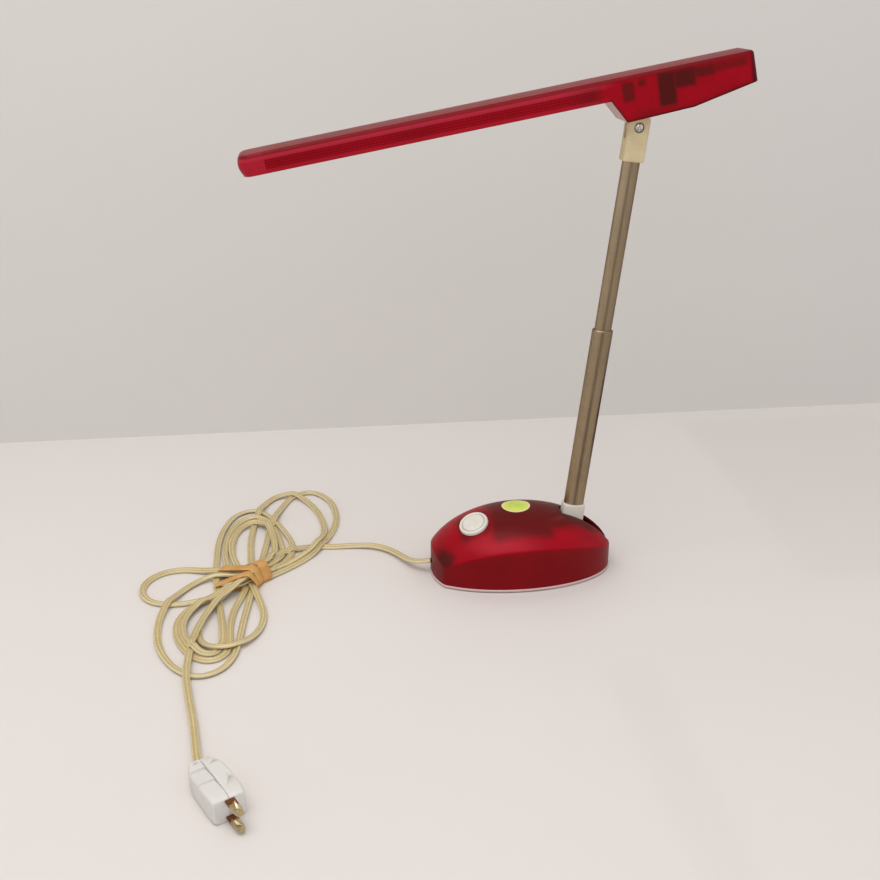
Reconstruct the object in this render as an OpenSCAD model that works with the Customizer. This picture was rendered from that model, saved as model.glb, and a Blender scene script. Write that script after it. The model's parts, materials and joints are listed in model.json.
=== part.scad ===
// Architect desk lamp: a domed base, an oval telescopic arm and a long slim head with a fluorescent tube.
// Origin at the centre of the base underside, +X towards the arm end, +Z up.

/* [Base] */
// Length of the base from nose to stern
base_len = 163; // [130:1:200]
// Greatest width of the base
base_w = 90; // [76:1:110]
// Height of the dome above the table
base_h = 62; // [52:1:75]
// Wall of the dome shell
shell_wall = 2.2; // [1.6:0.1:3]
// How far the nose bulges forward of its corners
nose_bulge = 8.5; // [5:0.5:14]
// Thickness of the base plate
plate_t = 2.2; // [1.6:0.1:4]
// Thickness of the anti-slip sheet
pad_t = 1; // [0.5:0.1:2]
// Height of the iron ballast slab
weight_h = 10; // [6:0.5:14]

/* [Switch] */
// Outside diameter of the switch bezel
bezel_d = 26; // [22:0.5:30]
// Diameter of the push button
button_d = 20; // [16:0.5:23]
// Travel of the push button
button_travel = 2.5; // [1.5:0.1:3.5]

/* [Arm] */
// Distance between the two pivots with the arm drawn out
arm_len = 356; // [320:1:400]
// Lean of the arm towards the stern
arm_lean = 6.2; // [2:0.1:12]
// Place of the lower pivot along the base
hinge_x = 44; // [36:1:50]
// Height of the lower pivot
hinge_z = 34; // [30:1:38]
// Diameter of the lower hinge pin
hinge_pin_d = 6; // [4:0.5:8]
// Width of the lower tube
lower_w = 18; // [16:0.5:20]
// Depth of the lower tube
lower_d = 12.4; // [11:0.2:13]
// Wall of both tubes
tube_wall = 0.8; // [0.6:0.1:1.2]
// Top of the lower tube, measured from the lower pivot
lower_top = 189; // [160:1:210]
// How far the upper tube draws in
retract = 125; // [80:1:130]

/* [Head] */
// Reach of the head from its pivot to its nose
head_front = 309.5; // [280:1:340]
// Length of the head from its pivot to its tail
head_tail = 94; // [80:1:110]
// Width of the head
head_w = 34; // [30:1:42]
// Height of the lamp bar
bar_h = 16.3; // [15:0.5:22]
// Depth of the gear box below the bar
box_drop = 17.9; // [14:0.5:26]
// Wall of the head housing
head_wall = 1.5; // [1.2:0.1:2.5]
// Rise of the head towards its tail
head_rise = 10.5; // [0:0.5:20]
// Diameter of the head pivot screw
pivot_d = 4; // [3:0.5:5]

/* [Lamp] */
// Diameter of each glass tube
glass_d = 11; // [9:0.5:12]
// Distance between the axes of the two glass tubes
glass_gap = 15; // [13:0.5:16]
// Overall length of the lamp without its pins
lamp_len = 225; // [160:1:240]

/* [Cord] */
// Width of the flat twin lead
cord_w = 6; // [5:0.5:8]

/* [Hidden] */
$fn = 48;
fit = 0.05;          // running clearance between a shaft and its hole
gap = 0.3;           // clearance between pieces that move past each other
seat = 0.1;          // clearance of a piece laid in a housing

// ---------- base outline and dome ----------
plan_shift = 6;                                  // the widest place lies this far towards the nose
plan_a = base_len / 2 + plan_shift;
dome_z = 5;                                      // height of the dome's centre
dome_r = base_h - dome_z;
dome_a = base_len / 2 + 5.8;
dome_x = -1.5;
shell_z = pad_t + plate_t;                       // underside of the dome shell
plan_steps = 40;

// Outline of the base seen from above, drawn in by d: a bulged nose and a long oval
function plan(d) = let(
        a = plan_a - d,
        b = base_w / 2 - d,
        nose_x = -base_len / 2 + d,
        corner_x = nose_x + nose_bulge,
        t = acos((corner_x + plan_shift) / a),
        corner_y = b * sin(t),
        r = (corner_y * corner_y + nose_bulge * nose_bulge) / (2 * nose_bulge),
        s = asin(corner_y / r))
    concat(
        [for (i = [0 : 8]) let(f = 180 + s - 2 * s * i / 8) [nose_x + r + r * cos(f), r * sin(f)]],
        [for (i = [1 : plan_steps - 1]) let(f = t - 2 * t * i / plan_steps)
            [-plan_shift + a * cos(f), b * sin(f)]]);

// Upper half of a spheroid that lies along X, drawn in by d
module spheroid(d) {
    half = [for (i = [0 : 30]) [(dome_r - d) * sin(i * 6), (dome_a - d) * cos(i * 6)]];
    translate([dome_x, 0, dome_z]) rotate([0, 90, 0]) rotate_extrude($fn = 64) polygon(half);
}
module dome(d) {
    intersection() {
        spheroid(d);
        translate([0, 0, shell_z]) linear_extrude(base_h) polygon(plan(d));
    }
}
function dome_top(x, y, d) = dome_z + (dome_r - d)
    * sqrt(1 - pow((x - dome_x) / (dome_a - d), 2) - pow(y / (dome_r - d), 2));

// ---------- switch place: on the near flank, square to the dome ----------
switch_x = -45;
switch_y = -12;
switch_tip = 21;                                 // slope of the dome there along X
switch_roll = 14;                                // slope of the dome there along Y
module at_switch() {
    translate([switch_x, switch_y, dome_top(switch_x, switch_y, 0)])
        rotate([switch_roll, -switch_tip, 0]) children();
}
bezel_h = 2;                                     // how far the bezel stands off the dome
barrel_d = bezel_d - 3.6;                        // barrel of the bezel below the dome
barrel_l = 9;
flange_sink = 1.2;                               // depth of the flat seat for the bezel's flange
stem_foot = 5.5;                                 // the button's stem ends this far below the dome
spring_l = button_travel + 9.5;                  // length of the spring at rest
button_h = 2.9;                                  // how far the button stands off the dome

// ---------- hinge ----------
slot_w = 15;                                     // width of the slot for the arm
slot_x = hinge_x - 9.5;                          // front end of the slot
slot_z = 22;                                     // floor of the slot in the stern wall
knuckle_y = slot_w - 1;                          // thickness of the lower knuckle
eye_r = 9.5;
eye_y = 12.6;                                    // thickness of the knuckle's eye between its washers
bracket_in = slot_w / 2 + 0.4;
bracket_t = 2.4;
weight_z = shell_z;
weight_top = weight_z + weight_h;

module at_hinge() { translate([hinge_x, 0, hinge_z]) rotate([0, arm_lean, 0]) children(); }
module along_y(r, l) { rotate([90, 0, 0]) cylinder(r = r, h = l, center = true); }

// Oval prism of width w and depth d from z0 to z1
function oval(w, d) = [for (i = [0 : 39]) [w / 2 * cos(i * 9), d / 2 * sin(i * 9)]];
module oval_bar(w, d, z0, z1) { translate([0, 0, z0]) linear_extrude(z1 - z0) polygon(oval(w, d)); }
module oval_tube(w, d, wall, z0, z1) {
    difference() {
        oval_bar(w, d, z0, z1);
        oval_bar(w - 2 * wall, d - 2 * wall, z0 - 1, z1 + 1);
    }
}

collar_top = 29;                                 // top of the lower knuckle above the pivot
collar_w = lower_w + 1.8;
collar_floor = 12;                               // where the lower tube stands in the knuckle
bore_w = lower_w - 2 * tube_wall;                // inside of the lower tube
bore_d = lower_d - 2 * tube_wall;
ring_lip = 1.2;                                  // lip of the guide ring above the lower tube
upper_w = bore_w - 1.8;                          // the upper tube, inside its guide ring
upper_d = bore_d - 1.2;
ring_l = 9;
glide_top = lower_top - ring_l - 1;
glide_l = glide_top - collar_floor - retract - 19; // drawn in, the glide stops above the lead's bend
fork_foot = arm_len - 26.5;                      // underside of the upper knuckle
fork_socket = 11.5;
fork_w = 17.4;
fork_y = 13.6;
tongue_t = 4.4;
washer_t = 0.4;
fork_slot = tongue_t + 2 * washer_t + 2 * fit;
fork_r = fork_w / 2;
lead_d = 3.6;
lead_x = lower_w / 2 - 2.8;                                    // the lead passes the lower pivot at this distance

// ---------- head ----------
// Side outline of the head, in its own frame with the pivot at the origin
bar_z = box_drop + 7.3;                          // underside of the bar above the pivot
head_top = bar_z + bar_h;
box_z = bar_z - box_drop;
knee_x = 41.7;
facet_x = -22;
heel_x = -11.4;
tail_z = box_z + 11;
function head_side() = [[-head_front + 3, bar_z], [facet_x, bar_z], [heel_x, box_z], [knee_x, box_z + 1.5],
    [head_tail, tail_z], [head_tail - 1.7, head_top], [-head_front + 3, head_top], [-head_front, bar_z + 9]];

// Outline P, anticlockwise, drawn in by d with mitred corners
function unit(v) = v / norm(v);
function inward(a, b) = let(e = unit(b - a)) [-e[1], e[0]];
function inset(P, d) = let(n = len(P)) [for (i = [0 : n - 1]) let(
        m = inward(P[(i + n - 1) % n], P[i]),
        k = inward(P[i], P[(i + 1) % n]))
    P[i] + d * (m + k) / (1 + m * k)];

module at_head() {
    translate([hinge_x + arm_len * sin(arm_lean), 0, hinge_z + arm_len * cos(arm_lean)])
        rotate([0, -head_rise, 0]) children();
}
// A side outline made solid across the width w
module slab(w) { rotate([90, 0, 0]) translate([0, 0, -w / 2]) linear_extrude(w) children(); }
// Rounded rectangle from x0 to x1, with nose radius rn and tail radius rt
module head_plan(x0, x1, w, rn, rt) {
    linear_extrude(60) polygon(concat(
        [for (f = [180 : -15 : 90]) [x0 + rn + rn * cos(f), w / 2 - rn + rn * sin(f)]],
        [for (f = [90 : -30 : 0]) [x1 - rt + rt * cos(f), w / 2 - rt + rt * sin(f)]],
        [for (f = [0 : -30 : -90]) [x1 - rt + rt * cos(f), -w / 2 + rt + rt * sin(f)]],
        [for (f = [270 : -15 : 180]) [x0 + rn + rn * cos(f), -w / 2 + rn + rn * sin(f)]]));
}
nose_r = 9;
tail_r = 4;
inner_w = head_w - 2 * head_wall;
slit_front = -9.6;                               // slot in the cover for the fork
slit_back = 12.5;
slit_w = fork_y + 1;
cover_t = 1.8;
roof_z = head_top - head_wall;
floor_t = 1.2;                                   // floor of the diffuser trough
trough_w = inner_w - 2 * seat;
trough_wall = 1;
reflector_t = 0.5;
reflector_z = roof_z - 1.2;
lamp_z = bar_z + floor_t + 0.6 + glass_d / 2;
cap_back = -37;                                  // the lamp's cap meets its holder here
cap_l = 25;
lamp_front = cap_back - lamp_len;
board_z = roof_z - 5.6;
board_t = 1.6;

// ---------- cord ----------
cord_exit_z = 12.5;
cord_lead_pts = [[-82, 0, 12.5], [-88, 1, 11.5], [-94, 5, 9.5], [-99, 12, 7], [-104, 22, 5], [-110, 33, 4],
    [-118, 43, 3.5], [-128, 50, 3.5], [-140, 54, 3.5], [-155, 56, 3.5], [-166, 56, 3.5]];
cord_tail_pts = [[-286, -146, 3.5], [-284, -158, 3.5], [-281, -176, 3.5], [-277, -196, 3.5],
    [-274, -216, 3.5], [-271.5, -234, 4], [-269.5, -247, 5.5], [-268, -256, 7]];
bundle_h = 26;                                   // height of the tied bundle
bundle_pts = [[-166, 50], [-180, 40], [-205, 20], [-224, -5], [-226, -60], [-240, -100], [-262, -130],
    [-280, -146], [-292, -146], [-312, -128], [-322, -95], [-322, -60], [-318, -38], [-342, -22], [-345, 0],
    [-336, 24], [-310, 38], [-284, 44], [-282, 90], [-268, 138], [-248, 152], [-226, 186], [-190, 192],
    [-162, 168], [-156, 120], [-160, 80], [-166, 62]];
band_at = [-238, 2];
plug_turn = -62;                                 // heading of the plug on the table
plug_at = [-268, -256];
plug_l = 50;
plug_w = 24;
plug_t = 19;

function ring(c, d, r, n) = let(
        side = norm([d[0], d[1]]) < 0.001 ? [0, -1, 0] : unit([d[1], -d[0], 0]),
        up = cross(side, d))
    [for (k = [0 : n - 1]) c + r * cos(k * 360 / n) * side + r * sin(k * 360 / n) * up];
// One closed tube of n sides and radius r swept along the points P
module swept(P, r, n) {
    m = len(P);
    dirs = [for (i = [0 : m - 1]) unit(P[min(i + 1, m - 1)] - P[max(i - 1, 0)])];
    pts = [for (i = [0 : m - 1]) each ring(P[i], dirs[i], r, n)];
    walls = [for (i = [0 : m - 2], k = [0 : n - 1])
        [i * n + k, i * n + (k + 1) % n, (i + 1) * n + (k + 1) % n, (i + 1) * n + k]];
    polyhedron(points = pts, faces = concat(
        [[for (k = [0 : n - 1]) n - 1 - k]], walls, [[for (k = [0 : n - 1]) (m - 1) * n + k]]));
}

// ================= base =================
screw_at = [for (s = [-1, 1]) each
    [[23.5 - base_len / 2, s * (base_w / 2 - 25)], [22, s * (base_w / 2 - 12)]]];
boss_r = 4;
screw_r = 1.5;

module foot_pad() {
    color("dimgray") difference() {
        linear_extrude(pad_t) polygon(plan(3));
        for (p = screw_at) translate([p[0], p[1], -1]) cylinder(r = 4, h = pad_t + 2);
    }
}
module base_plate() {
    color("mistyrose") difference() {
        translate([0, 0, pad_t]) linear_extrude(plate_t) polygon(plan(-0.6));
        for (p = screw_at) translate([p[0], p[1], 0]) {
            cylinder(r = screw_r + 0.2, h = 9);
            translate([0, 0, pad_t - 1]) cylinder(r = 3.2, h = 2.2);
        }
    }
}
module base_screws() {
    color("silver") for (p = screw_at) translate([p[0], p[1], pad_t]) {
        cylinder(r = 2.9, h = 1.2);
        cylinder(r = screw_r, h = 12);
    }
}
// The screw posts run up into the dome
module bosses() {
    intersection() {
        for (p = screw_at) translate([p[0], p[1], shell_z]) cylinder(r = boss_r, h = base_h);
        spheroid(shell_wall / 2);
    }
}
module base_weight() {
    color("#2b2622") difference() {
        union() {
            translate([0, 0, weight_z]) linear_extrude(weight_h) intersection() {
                polygon(plan(shell_wall + 5));
                translate([-50, -100]) square([hinge_x + 50 + 24, 200]);
            }
            intersection() {
                translate([-24, -27, weight_z]) cube([hinge_x - 16 - eye_r + 22, 54, base_h]);
                spheroid(shell_wall + 5);
            }
        }
        for (p = screw_at) translate([p[0], p[1], weight_z - 1]) cylinder(r = boss_r + 0.5, h = weight_h + 2);
    }
}
module base_shell() {
    color("crimson", 0.8) {
        difference() {
            union() {
                difference() {
                    dome(0);
                    translate([0, 0, -0.01]) intersection() {
                        spheroid(shell_wall);
                        linear_extrude(base_h) polygon(plan(shell_wall));
                    }
                }
                bosses();
            }
            for (p = screw_at) translate([p[0], p[1], shell_z - 1]) cylinder(r = screw_r, h = 12);
            translate([slot_x, -slot_w / 2, slot_z]) cube([base_len, slot_w, base_h]);
            at_switch() {
                translate([0, 0, -15]) cylinder(d = barrel_d + 2 * seat, h = 30);
                translate([0, 0, -flange_sink]) cylinder(d = bezel_d + 2 * seat, h = 15);
            }
            translate([-base_len / 2, 0, cord_exit_z]) rotate([0, 90, 0])
                cylinder(d = cord_w + 1, h = 12, center = true);
        }
    }
}
module hinge_bracket() {
    color("crimson") for (s = [-1, 1]) translate([0, s * (bracket_in + bracket_t / 2), 0]) difference() {
        slab(bracket_t) polygon([[hinge_x - 14, weight_top], [hinge_x + 15, weight_top],
            [hinge_x + 12, hinge_z + 5], [hinge_x + 5, hinge_z + 9], [hinge_x - 10, hinge_z + 9]]);
        translate([hinge_x, 0, hinge_z]) along_y(hinge_pin_d / 2 + fit, 20);
    }
}
pin_half = bracket_in + bracket_t;
module hinge_pin() {
    color("silver") translate([hinge_x, 0, hinge_z]) {
        along_y(hinge_pin_d / 2, 2 * pin_half + 8);
        translate([0, -pin_half - 1.5, 0]) along_y(hinge_pin_d / 2 + 2, 3);
    }
}
module hinge_nut() {
    color("gray") translate([hinge_x, pin_half + 1.6, hinge_z]) difference() {
        rotate([90, 0, 0]) cylinder(r = 5, h = 3.2, center = true, $fn = 6);
        along_y(hinge_pin_d / 2, 5);
    }
}
module hinge_washers() {
    color("black") for (s = [-1, 1])
        translate([hinge_x, s * (eye_y / 2 + bracket_in) / 2, hinge_z]) difference() {
            along_y(7.5, bracket_in - eye_y / 2 - 2 * fit);
            along_y(hinge_pin_d / 2 + fit, 4);
        }
}
module switch_bezel() {
    color("ivory") at_switch() difference() {
        union() {
            translate([0, 0, -flange_sink]) cylinder(d = bezel_d, h = bezel_h + flange_sink);
            translate([0, 0, -barrel_l]) cylinder(d = barrel_d, h = barrel_l);
        }
        translate([0, 0, -barrel_l - 1]) cylinder(d = button_d + 2 * gap, h = 30);
    }
}
module switch_button() {
    color("linen") at_switch() union() {
        translate([0, 0, -3]) cylinder(d = button_d, h = 3 + button_h);
        translate([0, 0, -stem_foot]) cylinder(d = 5, h = 3);
    }
}
module switch_body() {
    color("#1c1a18") at_switch() difference() {
        translate([-9, -9, -stem_foot - spring_l - 3.5]) cube([18, 18, stem_foot + spring_l + 3.5 - barrel_l]);
        translate([0, 0, -stem_foot - spring_l - 0.5]) cylinder(d = 12, h = 20);
    }
}
module switch_spring() {
    color("silver") at_switch() translate([0, 0, -stem_foot - spring_l]) difference() {
        cylinder(d = 9, h = spring_l);
        translate([0, 0, -1]) cylinder(d = 7.4, h = spring_l + 2);
    }
}
module terminal_block() {
    color("#231d18") difference() {
        translate([-base_len / 2 + 11.2, -24, shell_z]) cube([7.8, 18, 21]);
        for (y = [-19, -11]) translate([-base_len / 2 + 15.5, y, 12.5])
            rotate([0, 90, 0]) cylinder(d = 3, h = 12, center = true);
    }
}
module cord_clamp() {
    color("#3a342e") difference() {
        translate([-base_len / 2 + 5, -9, shell_z]) cube([6, 18, 14.3]);
        translate([-base_len / 2 + 7.5, 0, cord_exit_z]) rotate([0, 90, 0]) cylinder(d = cord_w, h = 12, center = true);
    }
}
module round_sticker() {
    color("greenyellow") intersection() {
        difference() {
            spheroid(-0.25);
            spheroid(0);
        }
        translate([-5, 2.5, base_h - 10]) cylinder(d = 25.4, h = 20);
    }
}

// ================= arm =================
module lower_knuckle() {
    color("#cfc9bd") at_hinge() difference() {
        union() {
            along_y(eye_r, eye_y);
            translate([-collar_w / 2 - 0.6, -eye_y / 2, 0]) cube([collar_w + 1.2, eye_y, 10]);
            translate([-collar_w / 2, -knuckle_y / 2, 10]) cube([collar_w, knuckle_y, collar_top - 10]);
        }
        along_y(hinge_pin_d / 2 + fit, 30);
        oval_bar(lower_w, lower_d, collar_floor, collar_top + 1);
        translate([-lead_x, 0, -12]) cylinder(d = lead_d + 1, h = collar_floor + 13);
    }
}
module lower_tube() {
    color("#a0876a") at_hinge() oval_tube(lower_w, lower_d, tube_wall, collar_floor, lower_top);
}
module guide_ring() {
    color("#b8a488") at_hinge() difference() {
        union() {
            oval_bar(bore_w - 0.02, bore_d - 0.02, lower_top - ring_l, lower_top);
            oval_bar(lower_w, lower_d, lower_top, lower_top + ring_lip);
        }
        oval_bar(upper_w + 2 * fit, upper_d + 2 * fit, lower_top - ring_l - 1, lower_top + 5);
    }
}
module arm_lead() {
    r = lead_d / 2;
    foot = collar_floor + 3;
    jog = [-lead_x + 3.8, foot + 8.1];
    color("gray") at_hinge() swept([[-lead_x, 0, -11], [-lead_x, 0, 0], [-lead_x, 0, foot],
        [-lead_x + 0.9, 0, foot + 4], [jog[0], 0, jog[1]], [jog[0] + 0.4, 0, jog[1] + 4],
        [jog[0] + 0.4, 0, jog[1] + 30]], r, 8);
}

// ================= upper arm =================
module upper_tube() {
    color("#8c775c") at_hinge()
        oval_tube(upper_w, upper_d, tube_wall, glide_top - glide_l, fork_foot + fork_socket);
}
module tube_glide() {
    color("ivory") at_hinge() difference() {
        oval_bar(bore_w - 2 * fit, bore_d - 2 * fit, glide_top - glide_l, glide_top);
        oval_bar(upper_w, upper_d, glide_top - glide_l - 1, glide_top + 1);
    }
}
module upper_knuckle() {
    color("#c4b083") at_hinge() difference() {
        slab(fork_y) polygon(concat([[-fork_r, fork_foot], [fork_r, fork_foot]],
            [for (f = [0 : 15 : 90]) [fork_r - 5 + 5 * cos(f), arm_len + 4.5 + 5 * sin(f)]],
            [for (f = [90 : 15 : 180]) [-fork_r + 5 + 5 * cos(f), arm_len + 4.5 + 5 * sin(f)]]));
        oval_bar(upper_w, upper_d, fork_foot - 1, fork_foot + fork_socket);
        cylinder(d = lead_d + 1, h = arm_len - 5);
        translate([-fork_w, -fork_slot / 2, arm_len - 9.2]) cube([2 * fork_w, fork_slot, 30]);
        translate([0, 0, arm_len]) {
            along_y(pivot_d / 2 + fit, 30);
            translate([0, -fork_y / 2, 0]) along_y(4, 4);
            translate([0, fork_y / 2, 0]) along_y(4, 4);
        }
    }
}
module head_lead() {
    color("gray") at_hinge() translate([0, 0, lower_top - 8])
        cylinder(d = lead_d, h = arm_len - 10 - lower_top + 8);
}
module pivot_screw() {
    color("silver") at_hinge() translate([0, 0, arm_len]) difference() {
        union() {
            along_y(pivot_d / 2, fork_y);
            translate([0, -fork_y / 2 + 0.8, 0]) along_y(3.6, 2.4);
        }
        translate([0, -fork_y / 2, 0]) {
            cube([6, 1.2, 1], center = true);
            cube([1, 1.2, 6], center = true);
        }
    }
}
module pivot_nut() {
    color("silver") at_hinge() translate([0, fork_y / 2 - 0.9, arm_len]) difference() {
        rotate([90, 0, 0]) cylinder(r = 3.8, h = 2.1, center = true, $fn = 6);
        along_y(pivot_d / 2, 5);
    }
}
module pivot_washers() {
    color("black") at_hinge() translate([0, 0, arm_len]) for (s = [-1, 1])
        translate([0, s * (tongue_t + washer_t) / 2, 0]) difference() {
            along_y(6.5, washer_t);
            along_y(pivot_d / 2 + fit, 3);
        }
}

// ================= head =================
module head_shell() {
    color("crimson", 0.8) at_head() difference() {
        intersection() {
            slab(head_w) polygon(head_side());
            head_plan(-head_front, head_tail + 1, head_w, nose_r, tail_r);
        }
        intersection() {
            slab(head_w) polygon([[-head_front, -1], [head_tail - head_wall, -1],
                [head_tail - head_wall, tail_z], [head_tail - 1.7 - head_wall, roof_z], [-head_front, roof_z]]);
            translate([0, 0, -5]) head_plan(-head_front + head_wall, head_tail, inner_w,
                nose_r - head_wall, tail_r - head_wall);
        }
    }
}
// The underside of the gear box, laid between the side walls
module head_cover() {
    outer = [[facet_x, bar_z], [heel_x, box_z], [knee_x, box_z + 1.5], [head_tail, tail_z],
        [head_tail, head_top], [facet_x, head_top]];
    color("mistyrose") at_head() difference() {
        intersection() {
            slab(inner_w - 2 * seat) difference() {
                polygon(outer);
                polygon(concat([for (i = [0 : 3]) inset(outer, cover_t)[i]],
                    [[head_tail, tail_z + 20], [head_tail, 99], [facet_x - 9, 99], [facet_x - 9, bar_z + 1.8]]));
            }
            translate([-60, -50, 0]) cube([60 + head_tail - head_wall - 1.2, 100, bar_z + floor_t]);
        }
        translate([slit_front, -slit_w / 2, -5]) cube([slit_back - slit_front, slit_w, bar_z - 3]);
    }
}
lug_z = box_z + 5;                               // underside of the lug's flange, above the fork's sweep
lug_t = 2;
head_screw_at = [[25, -7.5], [25, 7.5]];
head_screw_r = 1.2;
module head_lug() {
    color("#c9c2b2") at_head() difference() {
        union() {
            along_y(8, tongue_t);
            translate([-5.5, -tongue_t / 2, 0]) cube([11, tongue_t, lug_z + 1]);
            translate([-9, -12, lug_z]) cube([41, 24, lug_t]);
            for (p = head_screw_at) translate([p[0] - 5, p[1] - 2.5, box_z + cover_t + 1.3]) cube([10, 5, 3]);
        }
        along_y(pivot_d / 2 + fit, 20);
        for (p = head_screw_at) translate([p[0], p[1], box_z]) cylinder(r = head_screw_r, h = 12);
    }
}
module head_screws() {
    color("silver") at_head() for (p = head_screw_at) translate([p[0], p[1], lug_z + lug_t]) {
        cylinder(d = 5, h = 1.6);
        translate([0, 0, -3.6]) cylinder(r = head_screw_r, h = 3.8);
    }
}
module diffuser() {
    color("mistyrose", 0.6) at_head() difference() {
        intersection() {
            translate([-head_front + head_wall + seat, -trough_w / 2, bar_z])
                cube([head_front - head_wall - seat + facet_x - 2, trough_w, bar_h - head_wall - 1.4]);
            head_plan(-head_front + head_wall + seat, head_tail, trough_w, nose_r - head_wall, tail_r);
        }
        translate([-head_front + 12, -trough_w / 2 + trough_wall, bar_z + floor_t])
            cube([head_front, trough_w - 2 * trough_wall, bar_h]);
    }
}
module reflector() {
    color("whitesmoke") at_head() translate([lamp_front - 8, 0, reflector_z])
        translate([0, -13.6, 0]) cube([cap_back - lamp_front - cap_l + 6, 27.2, reflector_t]);
}
module lamp_glass() {
    color("white") at_head() union() {
        for (s = [-1, 1]) translate([lamp_front + glass_d / 2, s * glass_gap / 2, lamp_z]) {
            rotate([0, 90, 0]) cylinder(d = glass_d, h = lamp_len - cap_l - glass_d / 2);
            sphere(d = glass_d);
        }
        translate([lamp_front + glass_d, 0, lamp_z]) along_y(2.6, glass_gap - glass_d + 3);
    }
}
module lamp_cap() {
    color("white") at_head()
        translate([cap_back - cap_l, -13.5, lamp_z - glass_d / 2]) cube([cap_l, 27, glass_d]);
}
module lamp_holder() {
    color("#5a1f1f") at_head()
        translate([cap_back, -13.8, lamp_z - glass_d / 2 - 0.3]) cube([12.5, 27.6, glass_d + 0.6]);
}
module on_board(x0, x1, y0, y1, h) {
    at_head() translate([x0, y0, board_z - h]) cube([x1 - x0, y1 - y0, h]);
}
module gear_board() {
    color("#6d5a2a") at_head() translate([-18, -13.8, board_z]) cube([head_tail - 8 + 18, 27.6, board_t]);
}
module choke() { color("#1b1512") on_board(15.5, 29.7, -13, 4, 18.2); }
module film_capacitor() { color("#4d4a1c") on_board(-13, 0, -13, -2, 11); }
module power_transistor() { color("#151212") on_board(2, 8.7, -12.5, -8, 3.6); }
module gear_coil() {
    color("#221a16") at_head() translate([37.5, -5, board_z - 10]) cylinder(d = 15, h = 10);
}
module smoothing_capacitors() {
    color("#1d1614") at_head() for (x = [46.5, 68]) translate([x, -6, board_z - 4.4])
        rotate([0, 90, 0]) cylinder(d = 8.6, h = 19.5);
}

// ================= cord =================
module cord_lead() { color("#c9b98a") swept(cord_lead_pts, cord_w / 2, 8); }
module cord_tail() { color("#c9b98a") swept(cord_tail_pts, cord_w / 2, 8); }
module cord_bundle() {
    color("#c9b98a") translate([0, 0, 0.4]) difference() {
        linear_extrude(bundle_h) polygon(bundle_pts);
        translate([band_at[0], band_at[1], -1]) cylinder(d = 8, h = bundle_h + 2);
    }
}
module cord_band() {
    color("#d9a45e") translate([band_at[0], band_at[1], 0.4]) cylinder(d = 7.6, h = bundle_h);
}
module at_plug() { translate([plug_at[0], plug_at[1], 0]) rotate([0, 0, plug_turn]) children(); }
module plug_half(y0) { at_plug() translate([0, y0, 0.4]) cube([plug_l, plug_w / 2, plug_t]); }
module plug_back() { color("whitesmoke") plug_half(0); }
module plug_front() { color("white") plug_half(-plug_w / 2); }
module plug_blades() {
    color("#c8a050") at_plug() for (s = [-1, 1])
        translate([plug_l, -3.2, 0.4 + plug_t / 2 + s * 6.35 - 0.75]) cube([17, 6.4, 1.5]);
}

foot_pad();
base_plate();
base_screws();
base_weight();
base_shell();
hinge_bracket();
hinge_pin();
hinge_nut();
hinge_washers();
switch_bezel();
switch_button();
switch_body();
switch_spring();
terminal_block();
cord_clamp();
round_sticker();
lower_knuckle();
lower_tube();
guide_ring();
arm_lead();
upper_tube();
tube_glide();
upper_knuckle();
head_lead();
pivot_screw();
pivot_nut();
pivot_washers();
head_shell();
head_cover();
head_lug();
head_screws();
diffuser();
reflector();
lamp_glass();
lamp_cap();
lamp_holder();
gear_board();
choke();
film_capacitor();
power_transistor();
gear_coil();
smoothing_capacitors();
cord_lead();
cord_bundle();
cord_band();
cord_tail();
plug_front();
plug_back();
plug_blades();
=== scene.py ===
"""Architect desk lamp: a domed translucent base, an oval telescopic arm, a long slim head and a tied-up lead.

Metres, with the origin at the centre of the base's underside, +X from the nose to the arm and +Z up.
"""

import json
import math

import bmesh
import bpy
import numpy as np
from bpy.props import FloatProperty, FloatVectorProperty, PointerProperty
from bpy.types import Operator, Panel, PropertyGroup
from mathutils import Matrix, Vector
from mathutils.bvhtree import BVHTree


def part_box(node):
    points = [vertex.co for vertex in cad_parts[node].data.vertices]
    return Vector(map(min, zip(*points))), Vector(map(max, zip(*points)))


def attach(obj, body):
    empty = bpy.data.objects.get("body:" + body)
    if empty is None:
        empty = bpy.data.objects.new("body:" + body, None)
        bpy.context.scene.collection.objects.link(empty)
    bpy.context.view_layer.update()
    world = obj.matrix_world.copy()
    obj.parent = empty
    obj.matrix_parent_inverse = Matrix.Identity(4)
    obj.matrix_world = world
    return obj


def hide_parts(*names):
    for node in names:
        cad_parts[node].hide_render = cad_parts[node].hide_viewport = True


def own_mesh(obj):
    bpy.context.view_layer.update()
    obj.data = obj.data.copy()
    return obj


bl_info = {
    "name": "Architect desk lamp",
    "version": (1, 0, 0),
    "blender": (4, 5, 0),
    "location": "3D View > Sidebar > Desk lamp",
    "description": "Builds the pieces, finishes and studio of an architect desk lamp around its frame",
    "category": "Add Mesh",
}

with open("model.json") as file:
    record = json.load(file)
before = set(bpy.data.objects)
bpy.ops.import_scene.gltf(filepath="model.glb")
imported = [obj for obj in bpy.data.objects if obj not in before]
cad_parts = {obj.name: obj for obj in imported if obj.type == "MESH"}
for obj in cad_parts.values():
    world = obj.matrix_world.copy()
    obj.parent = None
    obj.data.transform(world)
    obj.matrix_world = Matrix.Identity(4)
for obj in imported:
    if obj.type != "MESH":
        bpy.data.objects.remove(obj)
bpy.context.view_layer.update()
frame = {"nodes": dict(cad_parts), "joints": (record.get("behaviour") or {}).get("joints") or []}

MM = 0.001
JOINTS = {joint["name"]: joint for joint in frame["joints"]}

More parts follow.
